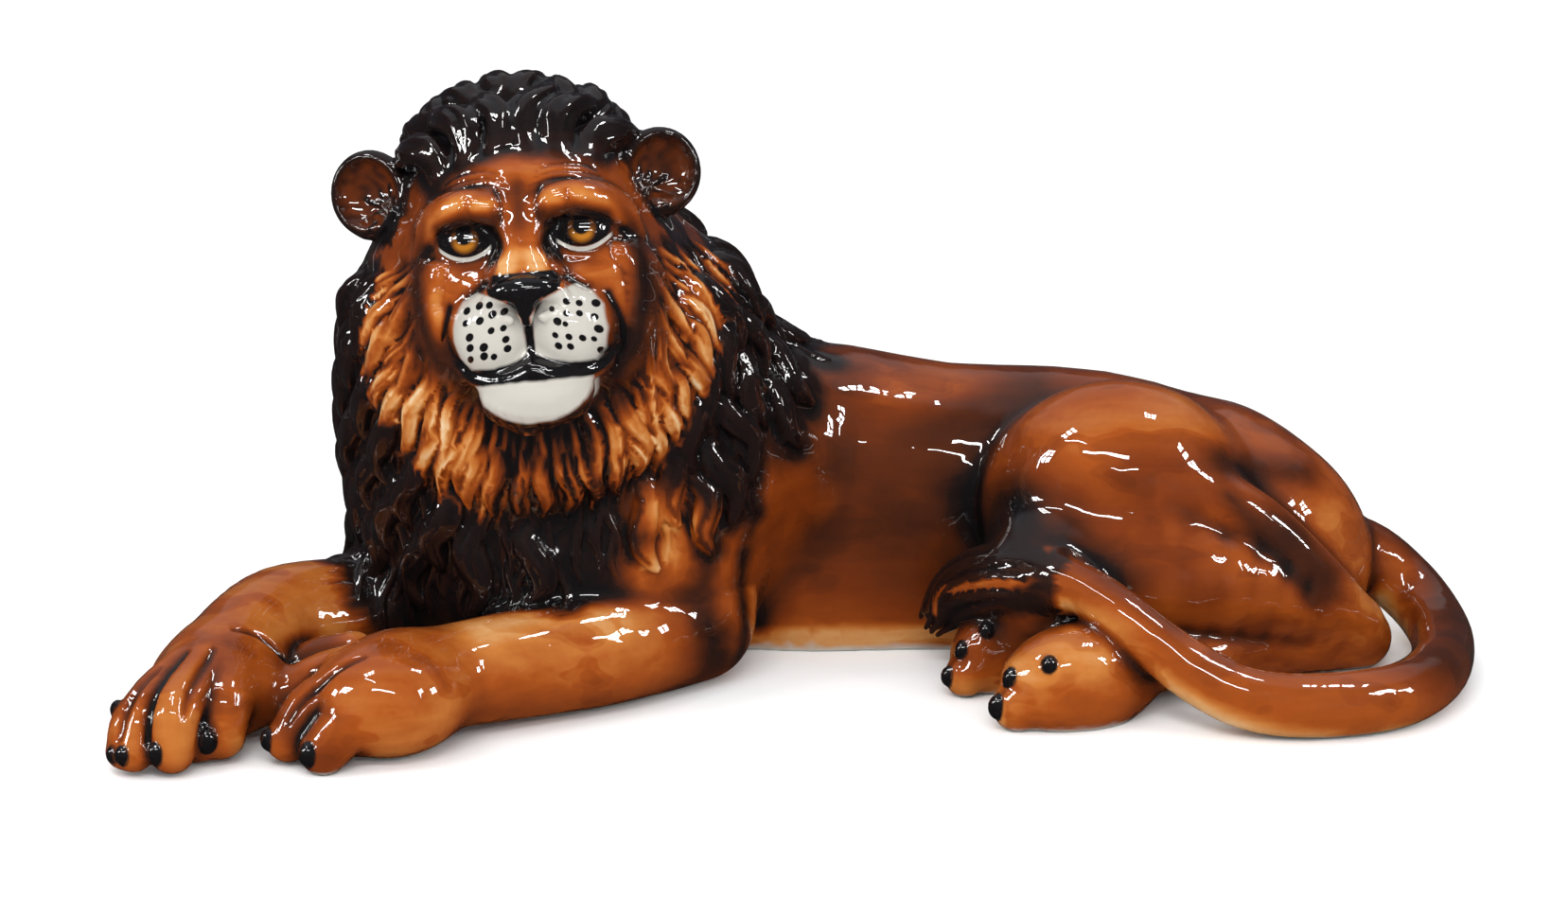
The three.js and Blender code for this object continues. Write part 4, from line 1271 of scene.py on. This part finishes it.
def face_tone(tone, points):
    a, b, c = seen_on_face(points)
    near = smooth_step(-12, 6, c) * smooth_step(1.06, 0.94, np.hypot(a / 64, (b + 10) / 70))
    own = np.full(len(a), 0.5)
    flat = np.stack([a, b, np.zeros(len(a))], 1)
    for width, value, strength, *lines in FACE_STROKES:
        both = [[(s * across, up, 0) for across, up in line] for line in lines for s in (-1, 1)]
        paint(own, flat, width, value, both, strength)
    # Darker over the right side of the face: painted shade.
    own -= 0.07 * smooth_step(20, 45, a)
    tone += (own - tone) * near


def vary_locks(tone, kinds, along, numbers, gap, cavity):
    """Black-brown mane and crest, orange ruff that darkens to its tips, a tuft with a few rust strands."""
    hair = smooth_step(3.5, 0.5, gap)
    shade = vary(numbers, 11)
    # Each strand is painted lighter on its ridge and darker in the grooves beside it: painted highlight and
    # painted shade.
    ridge = np.clip(-cavity, -1.5, 1)
    dark = 0.02 + 0.03 * shade + 0.05 * np.clip(ridge, 0, 1)
    ruff = 0.45 + 0.16 * smooth_step(0.05, 0.4, along) - 0.4 * smooth_step(0.5, 1, along)
    ruff = ruff + 0.5 * (shade - 0.5) + 0.3 * ridge
    tuft = 0.05 + 0.42 * (shade > 0.72) + 0.1 * shade + 0.08 * ridge
    ear = 0.1 + 0.2 * along
    own = np.select([kinds == RUFF, kinds == TUFT_KIND, kinds == EAR_KIND], [ruff, tuft, ear], dark)
    tone += (own - tone) * hair
    near_dark = (kinds == OUTER) | (kinds == CREST)
    fade = smooth_step(14, 2, gap) * near_dark
    tone += (0.04 - tone) * fade * (1 - hair)


def pale_locks(tone, points, kinds, numbers):
    """A few pale strands low on the chest, over the left elbow."""
    lines = [[(-67, 12, 112), (-50, 16, 99)], [(-60, 10, 88), (-72, 3, 78)]]
    weight = np.exp(-(line_distance(points, lines) / 17) ** 2) * (kinds == OUTER)
    tone += (0.25 + 0.6 * vary(numbers, 11) - tone) * weight


def ruff_roots(tone, points, kinds):
    """Painted shade where the ruff starts, close under the chin and along the face."""
    a, b, c = seen_on_face(points)
    far = np.hypot(a / 66, (b + 12) / 72)
    ruff = (kinds == RUFF) & (c > -60)
    # Painted shade at the ruff's roots round the face, and low in its middle under the chin.
    roots = 0.24 * smooth_step(1.25, 1, far) * smooth_step(20, -10, b)
    below = 0.36 * smooth_step(-45, -100, b) * smooth_step(50, 20, np.abs(a))
    tone[ruff] -= (roots + below)[ruff]


def paint_ears(tone, points, kinds, gap):
    for s, place in EARS:
        q = ear_frame(s, place).into(points)
        ring = np.hypot(q[:, 0] / EAR_SIZE[0], q[:, 1] / EAR_SIZE[1])
        here = (ring < 1.25) & (q[:, 2] > -16) & (q[:, 2] < 16)
        inner = smooth_step(0.95, 0.6, ring) * smooth_step(-14, 2, q[:, 2])
        way = np.arctan2(q[:, 1] + 16, -s * (q[:, 0] + s * 16))
        spokes = np.clip(np.sin(21 * way + 2 * np.sin(0.4 * q[:, 1])) - 0.1, 0, 1)
        own = 0.06 + (0.3 - 0.16 * spokes) * inner
        streak = (kinds == EAR_KIND) * smooth_step(1.2, 0.2, gap)
        own = own - 0.2 * streak
        tone[here] = own[here]


# Fore paws: rust, with honey on the knuckles.
KNUCKLE_STROKES = [
    (28, 0.4, 0.95, [(-330, -70, 40), (-300, -60, 45)], [(-218, -66, 40), (-250, -70, 30)]),
    (8, 0.62, 0.5, [(-326, -50, 56), (-334, -80, 48)], [(-303, -50, 58), (-312, -82, 52)]),
    (8, 0.66, 0.5, [(-222, -46, 58), (-246, -58, 50)], [(-204, -64, 54), (-236, -78, 42)]),
]
# Where the short faint lines on the near hind paw begin, from left to right.
HIND_LINES = (152, 157, 162, 167)
# Painted shade between and beside the fore paws; the near hind paw honey with its faint lines, the far
# one rust.
PAW_STROKES = [
    (14, 0.22, 0.85, [(-262, -80, 20), (-240, -98, 12)], [(-268, -40, 34), (-250, -24, 46)]),
    (9, 0.28, 0.7, [(-346, -96, 10), (-322, -104, 10), (-300, -88, 8)]),
    (24, 0.72, 0.97, [(126, -32, 32), (146, -34, 44), (170, -30, 46)]),
    (12, 0.48, 0.85, [(128, -44, 6), (150, -44, 10), (176, -42, 12)], [(196, -36, 26), (190, -26, 42)]),
    *((1.4, 0.4, 0.8, [(x, -40, 38), (x + 2, -44, 26)]) for x in HIND_LINES),
    (20, 0.38, 0.95, [(96, 24, 16), (112, 18, 30), (124, 26, 40)]),
]


def paint_paws(tone, points):
    """Rust paws, then a soft line of painted shade between each two toes, then the dark and pale places."""
    airbrush(tone, points, KNUCKLE_STROKES)
    for _, _, _, toes in FORE_PAWS + HIND_PAWS:
        # A soft dark line between each two toes: painted shade.
        for first, second in zip(toes, toes[1:]):
            r = (first[3] + second[3]) / 2
            between = (np.array(first[:3]) + np.array(second[:3])) / 2 + (0, 0, 0.7 * r)
            paint(tone, points, 0.42 * r, 0.3, [between], 0.6)
    airbrush(tone, points, PAW_STROKES)


def attributes_of(points, normals, field):
    """Everything that the glaze reads from the skin."""
    narrow = np.clip(field, -4, 4)
    fine = read_field(blurred(narrow, max(1, round(1.3 / CELL))), points)
    wide = read_field(blurred(narrow, max(1, round(3.2 / CELL))), points)
    broad = read_field(blurred(np.clip(field, -12, 12), max(1, round(6 / CELL))), points)
    # Negative on ridges, positive in grooves.
    cavity = -fine / 0.6
    hollow = -wide / 1.2
    valley = -broad / 3
    kinds, along, numbers, gap = strand_paint(points)
    tone = base_tone(points)
    paint_body(tone, points)
    paint_tail(tone, points, normals)
    airbrush(tone, points, LEG_STROKES)
    paint_paws(tone, points)
    vary_locks(tone, kinds, along, numbers, gap, cavity)
    pale_locks(tone, points, kinds, numbers)
    ruff_roots(tone, points, kinds)
    face_tone(tone, points)
    # Away from the hair, darker in hollows and broad valleys and lighter on broad rises: partly glaze pooled
    # thick in the hollows and run thin on the rises, partly painted shade and painted light.
    bare = smooth_step(1, 4, gap)
    tone -= bare * (0.2 * np.clip(hollow, 0, 1.5) + 0.3 * np.clip(valley, 0, 1))
    tone += bare * 0.12 * np.clip(-valley, 0, 1)
    paint_ears(tone, points, kinds, gap)
    # Darker in every fine groove: partly glaze pooled there, partly painted shade.
    tone -= 0.12 * np.clip(cavity, 0, 1.5)
    white, black, liner = face_masks(points)
    claw = np.full(len(points), FAR)
    for place, size in CLAWS:
        claw = np.minimum(claw, np.linalg.norm((points - place) / (1, 1, 1.25), axis=1) - 1.12 * size)
    a, b, c = seen_on_face(points)
    return {
        "tone": np.clip(tone, 0, 1),
        "rim": smooth_step(3.5, 1.5, points[:, 2]),
        "white_far": white,
        "black_far": black,
        "liner_far": liner,
        "claw_far": claw,
        "head_across": np.where(c > 5, a, 200),
        "head_up": b,
    }


# Glaze

class Value:
    """A number that shader nodes work out, so that the rules of painting read as formulas."""

    def __init__(self, tree, socket):
        self.tree = tree
        self.socket = socket

    def math(self, operation, *others, clamp=False):
        node = self.tree.nodes.new("ShaderNodeMath")
        node.operation = operation
        node.use_clamp = clamp
        for entry, value in zip(node.inputs, (self, *others)):
            if isinstance(value, Value):
                self.tree.links.new(value.socket, entry)
            else:
                entry.default_value = value
        return Value(self.tree, node.outputs[0])

    def __add__(self, other):
        return self.math("ADD", other)

    def __sub__(self, other):
        return self.math("SUBTRACT", other)

    def __mul__(self, other):
        return self.math("MULTIPLY", other)

    def __truediv__(self, other):
        return self.math("DIVIDE", other)

    def below(self, edge, soft):
        """1 well below the edge, 0 above it, with a soft step between."""
        return ((self - edge) * (-1 / soft)).math("ADD", 0.5, clamp=True)

    def both(self, other):
        return self.math("MULTIPLY", other)

    def either(self, other):
        return self.math("MAXIMUM", other)

    def size(self):
        return self.math("ABSOLUTE")


class Nodes:
    def __init__(self, tree):
        self.tree = tree

    def new(self, kind, **values):
        node = self.tree.nodes.new("ShaderNode" + kind)
        for name, value in values.items():
            setattr(node, name, value)
        return node

    def attribute(self, name):
        return Value(self.tree, self.new("Attribute", attribute_name=name).outputs["Fac"])

    def noise(self, place, size, detail, stretch=(1, 1, 1)):
        """Soft noise about 0, from -0.5 to 0.5, with lumps of a size in metres."""
        mapping = self.new("Mapping")
        mapping.inputs["Scale"].default_value = tuple(k / size for k in stretch)
        self.tree.links.new(place, mapping.inputs["Vector"])
        node = self.new("TexNoise")
        node.inputs["Scale"].default_value = 1
        node.inputs["Detail"].default_value = detail
        node.inputs["Roughness"].default_value = 0.5
        self.tree.links.new(mapping.outputs[0], node.inputs["Vector"])
        return Value(self.tree, node.outputs["Fac"]) - 0.5

    def mixed(self, under, over, factor):
        node = self.new("Mix", data_type="RGBA")
        self.tree.links.new(factor.socket, node.inputs[0])
        for entry, colour in ((node.inputs[6], under), (node.inputs[7], over)):
            if isinstance(colour, tuple):
                entry.default_value = (*colour, 1)
            else:
                self.tree.links.new(colour, entry)
        return node.outputs[2]


# Colours of the tones, from black-brown to cream, and of what is painted over them.
TONES = [
    (0.0, (0.0035, 0.0028, 0.0032)),
    (0.12, (0.013, 0.005, 0.0035)),
    (0.25, (0.055, 0.012, 0.003)),
    (0.4, (0.14, 0.025, 0.003)),
    (0.55, (0.26, 0.054, 0.006)),
    (0.7, (0.4, 0.135, 0.026)),
    (0.85, (0.51, 0.265, 0.1)),
    (1.0, (0.6, 0.44, 0.27)),
]
WHITE = (0.41, 0.39, 0.35)
BLACK = (0.004, 0.0035, 0.004)
AMBER = (0.33, 0.12, 0.01)
# The iris under the upper lid's painted shade.
LID_SHADE_AMBER = (0.055, 0.016, 0.003)
# A matt painted body under a clear, hard gloss.
GLAZE = {
    "Roughness": 0.45,
    "Specular IOR Level": 0.03,
    "Coat Weight": 1,
    "Coat Roughness": 0.015,
    "Coat IOR": 1.5,
}


def eye_colours(nodes, colour, across, up):
    """Amber iris, painted dark over its upper part as the upper lid's shade and bright amber low in it,
    black pupil high in it, and a white line along the lower lid.
    """
    x = across.size() - EYE_PAINT[0]
    y = up - EYE_PAINT[1]
    lid = (x * x) * 0.03 - 10.2
    line = (y - lid).size().below(1.1, 0.5).both((x - 0.6).size().below(14, 1.5))
    colour = nodes.mixed(colour, WHITE, line)
    far = (x * x + y * y).math("SQRT")
    # Painted shade of the upper lid over the iris; the bright amber is left only low in it.
    colour = nodes.mixed(colour, LID_SHADE_AMBER, far.below(7.6, 0.6).both(y.below(4.6, 1.5)))
    colour = nodes.mixed(colour, AMBER, far.below(6, 2.4).both(y.below(-0.6, 5)))
    higher = y - 2
    pupil = (x * x + higher * higher).math("SQRT").below(4.5, 1)
    return nodes.mixed(colour, BLACK, pupil)


# Whisker dots: their steps across and up in mm, and how far each row slants.
DOT_STEP = (6.7, 6.4)
DOT_SLANT = 0.03


def whisker_dots(nodes, across, up):
    """Black dots in uneven rows on the two white pads; a dot is drawn whole or not at all."""
    place = nodes.new("CombineXYZ")
    slant = across.size() * DOT_SLANT
    for value, entry in ((across / DOT_STEP[0], 0), (up / DOT_STEP[1] + slant, 1)):
        nodes.tree.links.new(value.socket, place.inputs[entry])
    cells = nodes.new("TexVoronoi", voronoi_dimensions="2D", feature="F1")
    cells.inputs["Scale"].default_value = 1
    cells.inputs["Randomness"].default_value = 0.5
    nodes.tree.links.new(place.outputs[0], cells.inputs["Vector"])
    colour = nodes.new("SeparateColor")
    nodes.tree.links.new(cells.outputs["Color"], colour.inputs[0])
    size = Value(nodes.tree, colour.outputs[0]) * 0.14 + 0.22
    dot = (Value(nodes.tree, cells.outputs["Distance"]) - size).below(0, 0.05)
    middle = nodes.new("SeparateXYZ")
    nodes.tree.links.new(cells.outputs["Position"], middle.inputs[0])
    aside = (Value(nodes.tree, middle.outputs[0]) * DOT_STEP[0]).size()
    height = (Value(nodes.tree, middle.outputs[1]) - slant) * DOT_STEP[1]
    here = (aside - 24.5).size().below(14.5, 0.2).both((height + 28.5).size().below(15.5, 0.2))
    kept = Value(nodes.tree, colour.outputs[1]).below(0.9, 0.01)
    return dot.both(here).both(kept)


def glaze_tone(nodes, place):
    """The painted tone, uneven as brushed and lapped coats of glaze leave it."""
    cloud = nodes.noise(place, 0.055, 3)
    brush = nodes.noise(place, 0.02, 3, stretch=(0.35, 0.8, 1.4))
    streak = nodes.noise(place, 0.007, 3, stretch=(0.16, 0.8, 1))
    speck = nodes.noise(place, 0.0035, 2)
    coats = nodes.noise(place, 0.03, 2, stretch=(0.5, 1, 1))
    lapped = coats.below(-0.03, 0.02) * -0.09 + coats.below(-0.09, 0.02) * -0.08
    uneven = cloud * 0.36 + brush * 0.24 + streak * 0.2 + speck * 0.06 + lapped + 1
    return nodes.attribute("tone") * uneven


def glaze_colour(nodes, place):
    """The tone's colour, then rim, eye liner, pads and chin, whisker dots, nose, claws and eyes."""
    ramp = nodes.new("ValToRGB")
    stops = ramp.color_ramp.elements
    while len(stops) < len(TONES):
        stops.new(0.5)
    for stop, (at, colour) in zip(stops, TONES):
        stop.position = at
        stop.color = (*colour, 1)
    nodes.tree.links.new(glaze_tone(nodes, place).socket, ramp.inputs[0])

    edge = nodes.noise(place, 0.004, 2)
    soft_edge = nodes.noise(place, 0.012, 2)
    across = nodes.attribute("head_across")
    up = nodes.attribute("head_up")
    white = (nodes.attribute("white_far") + soft_edge * 2.2).below(0, 1.6)
    layers = [
        (WHITE, nodes.attribute("rim")),
        (BLACK, (nodes.attribute("liner_far") + edge * 1.5).below(0, 2)),
        (WHITE, white),
        (BLACK, whisker_dots(nodes, across, up).both(white)),
        (BLACK, (nodes.attribute("black_far") + edge * 0.8).below(0, 0.9)),
        (BLACK, nodes.attribute("claw_far").below(0, 0.9)),
    ]
    colour = ramp.outputs[0]
    for over, factor in layers:
        colour = nodes.mixed(colour, over, factor)
    return eye_colours(nodes, colour, across, up)


def glaze():
    material = bpy.data.materials.new("glaze")
    material.use_nodes = True
    tree = material.node_tree
    nodes = Nodes(tree)
    place = nodes.new("TexCoord").outputs["Object"]
    shader = tree.nodes["Principled BSDF"]
    for name, value in GLAZE.items():
        shader.inputs[name].default_value = value
    tree.links.new(glaze_colour(nodes, place), shader.inputs["Base Color"])
    # The glaze ran a little before it set, so its surface rolls softly.
    height = nodes.noise(place, 0.05, 1) * 0.0036 + nodes.noise(place, 0.02, 1) * 0.0009
    bump = nodes.new("Bump")
    bump.inputs["Strength"].default_value = 1
    bump.inputs["Distance"].default_value = 1
    tree.links.new(height.socket, bump.inputs["Height"])
    tree.links.new(bump.outputs[0], shader.inputs["Normal"])
    tree.links.new(bump.outputs[0], shader.inputs["Coat Normal"])
    return material


# The piece

def make_lion():
    field = sculpt()
    places, faces = outer_part(*draw_skin(field))
    places, faces = thinned(places, faces)
    normals = field_normals(field, places)
    values = attributes_of(places, normals, field)
    mesh = mesh_of("lion_glazed", (places - MIDDLE) * MM, faces)
    mesh.polygons.foreach_set("use_smooth", np.ones(len(mesh.polygons), bool))
    for name, numbers in values.items():
        mesh.attributes.new(name, "FLOAT", "POINT").data.foreach_set("value", numbers.astype(np.float32))
    mesh.normals_split_custom_set_from_vertices(normals.tolist())
    mesh.materials.append(glaze())
    lion = bpy.data.objects.new("lion_glazed", mesh)
    bpy.context.scene.collection.objects.link(lion)
    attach(lion, "root")
    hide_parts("lion")


# Floor, light and camera

AIM = Vector((-17.35, -51.1, 150)) * MM
CAMERA_DISTANCE = 2000 * MM
CAMERA_RISE = math.radians(16)
LENS = 85


def look_at(thing, target):
    thing.rotation_euler = (target - thing.location).to_track_quat("-Z", "Y").to_euler()


def make_camera():
    data = bpy.data.cameras.new("camera")
    data.lens = LENS
    camera = bpy.data.objects.new("camera", data)
    camera.location = AIM + CAMERA_DISTANCE * Vector((0, -math.cos(CAMERA_RISE), math.sin(CAMERA_RISE)))
    look_at(camera, AIM)
    bpy.context.scene.collection.objects.link(camera)
    bpy.context.scene.camera = camera


def stage_sheet(name, corners, faces, colour, specular):
    """A matt sheet for the studio."""
    mesh = bpy.data.meshes.new(name)
    mesh.from_pydata(corners, [], faces)
    sheet = bpy.data.objects.new(name, mesh)
    bpy.context.scene.collection.objects.link(sheet)
    material = bpy.data.materials.new(name)
    material.use_nodes = True
    shader = material.node_tree.nodes["Principled BSDF"]
    shader.inputs["Base Color"].default_value = (*colour, 1)
    shader.inputs["Roughness"].default_value = 0.9
    shader.inputs["Specular IOR Level"].default_value = specular
    mesh.materials.append(material)
    return sheet


def make_floor():
    size = 6.0
    corners = [(-size, -size, 0), (size, -size, 0), (size, size, 0), (-size, size, 0)]
    floor = stage_sheet("floor", corners, [(0, 1, 2, 3)], (0.96, 0.96, 0.96), 0.1)


def make_dark_card():
    """Only reflections show it: the dark ground, and the unlit side of the room under the lamps."""
    wide, front, back, low, high = 5, -0.55, 5, 0.0005, 0.42
    corners = [(-wide, back, low), (wide, back, low), (wide, front, low), (-wide, front, low)]
    corners += [(wide, front, high), (-wide, front, high)]
    faces = [(0, 3, 2, 1), (3, 5, 4, 2)]
    card = stage_sheet("dark_card", corners, faces, (0.03, 0.026, 0.026), 0)
    card.visible_camera = False
    card.visible_diffuse = False
    card.visible_shadow = False
    card.visible_transmission = False


# Each lamp: place, target, width, height and power.
LAMPS = [
    ((-0.2, -1.75, 1.75), (0, 0, 0.1), 1.2, 0.13, 20),
    ((0.3, -2.2, 1.35), (0, 0, 0.1), 1.1, 0.05, 9),
    ((-0.9, -1.0, 2.2), (0, 0, 0.1), 0.9, 0.05, 8),
    ((-2.0, -0.9, 1.5), (-0.1, 0, 0.15), 0.05, 0.6, 5),
    ((1.9, -1.1, 1.3), (0.1, 0, 0.1), 0.04, 0.5, 4),
]
# Windows are seen only in the glaze: the place of each, with panes side by side and over each other.
WINDOWS = [
    (-2.2, -0.6, 1.0),
    (-1.9, -1.1, 1.6),
    (-1.0, -0.3, 2.3),
    (-1.5, -2.0, 0.8),
    (2.2, -0.6, 1.1),
    (1.9, -1.0, 1.7),
    (1.1, 0.1, 2.4),
    (1.4, -2.1, 0.7),
]
PANES = (2, 3)
PANE = (0.13, 0.12)
PANE_STEP = (0.18, 0.17)
PANE_POWER = 2.6
# This one lights the whole evenly and has no reflection of its own.
SOFT_LIGHT = ((-0.5, -0.9, 2.6), (0, 0, 0), 2.4, 1.8, 4)


def add_light(place, target, width, height, power):
    data = bpy.data.lights.new("light", "AREA")
    data.shape = "RECTANGLE"
    data.size = width
    data.size_y = height
    data.energy = power
    light = bpy.data.objects.new("light", data)
    light.location = place
    look_at(light, Vector(target))
    bpy.context.scene.collection.objects.link(light)
    return light


def make_lights():
    for lamp in LAMPS:
        add_light(*lamp)
    add_light(*SOFT_LIGHT).visible_glossy = False
    for place in WINDOWS:
        away = Vector(place).normalized()
        side = away.cross(Vector((0, 0, 1))).normalized()
        up = side.cross(away)
        for column in range(PANES[0]):
            for row in range(PANES[1]):
                aside = PANE_STEP[0] * (column - (PANES[0] - 1) / 2)
                above = PANE_STEP[1] * (row - (PANES[1] - 1) / 2)
                pane = add_light(Vector(place) + aside * side + above * up, (0, 0, 0.15), *PANE, PANE_POWER)
                pane.visible_diffuse = False


def make_world():
    """An even white studio; in reflections it is a dim room with a pale ceiling."""
    world = bpy.data.worlds.new("studio")
    bpy.context.scene.world = world
    world.use_nodes = True
    nodes = Nodes(world.node_tree)
    links = world.node_tree.links
    split = nodes.new("SeparateXYZ")
    links.new(nodes.new("TexCoord").outputs["Generated"], split.inputs[0])
    rise = Value(world.node_tree, split.outputs[2])
    front = Value(world.node_tree, split.outputs[1])
    shaded = (rise + front * 0.6).below(0.87, 0.16).either(rise.below(0.5, 0.1))
    ceiling = nodes.mixed((0.36, 0.37, 0.4), (0.04, 0.04, 0.05), shaded)
    dim = rise.below(0.6, 0.04).both(front.below(0.45, 0.5))
    room = nodes.mixed(ceiling, (0.012, 0.01, 0.01), dim)
    path = nodes.new("LightPath")
    mirrored_ray = Value(world.node_tree, path.outputs["Is Glossy Ray"])
    background = world.node_tree.nodes["Background"]
    links.new(nodes.mixed((1.0, 1.0, 1.0), room, mirrored_ray), background.inputs["Color"])
    background.inputs["Strength"].default_value = 1.04


bpy.context.scene.view_settings.view_transform = "Standard"
make_camera()
make_world()
make_lights()
make_floor()
make_dark_card()
make_lion()
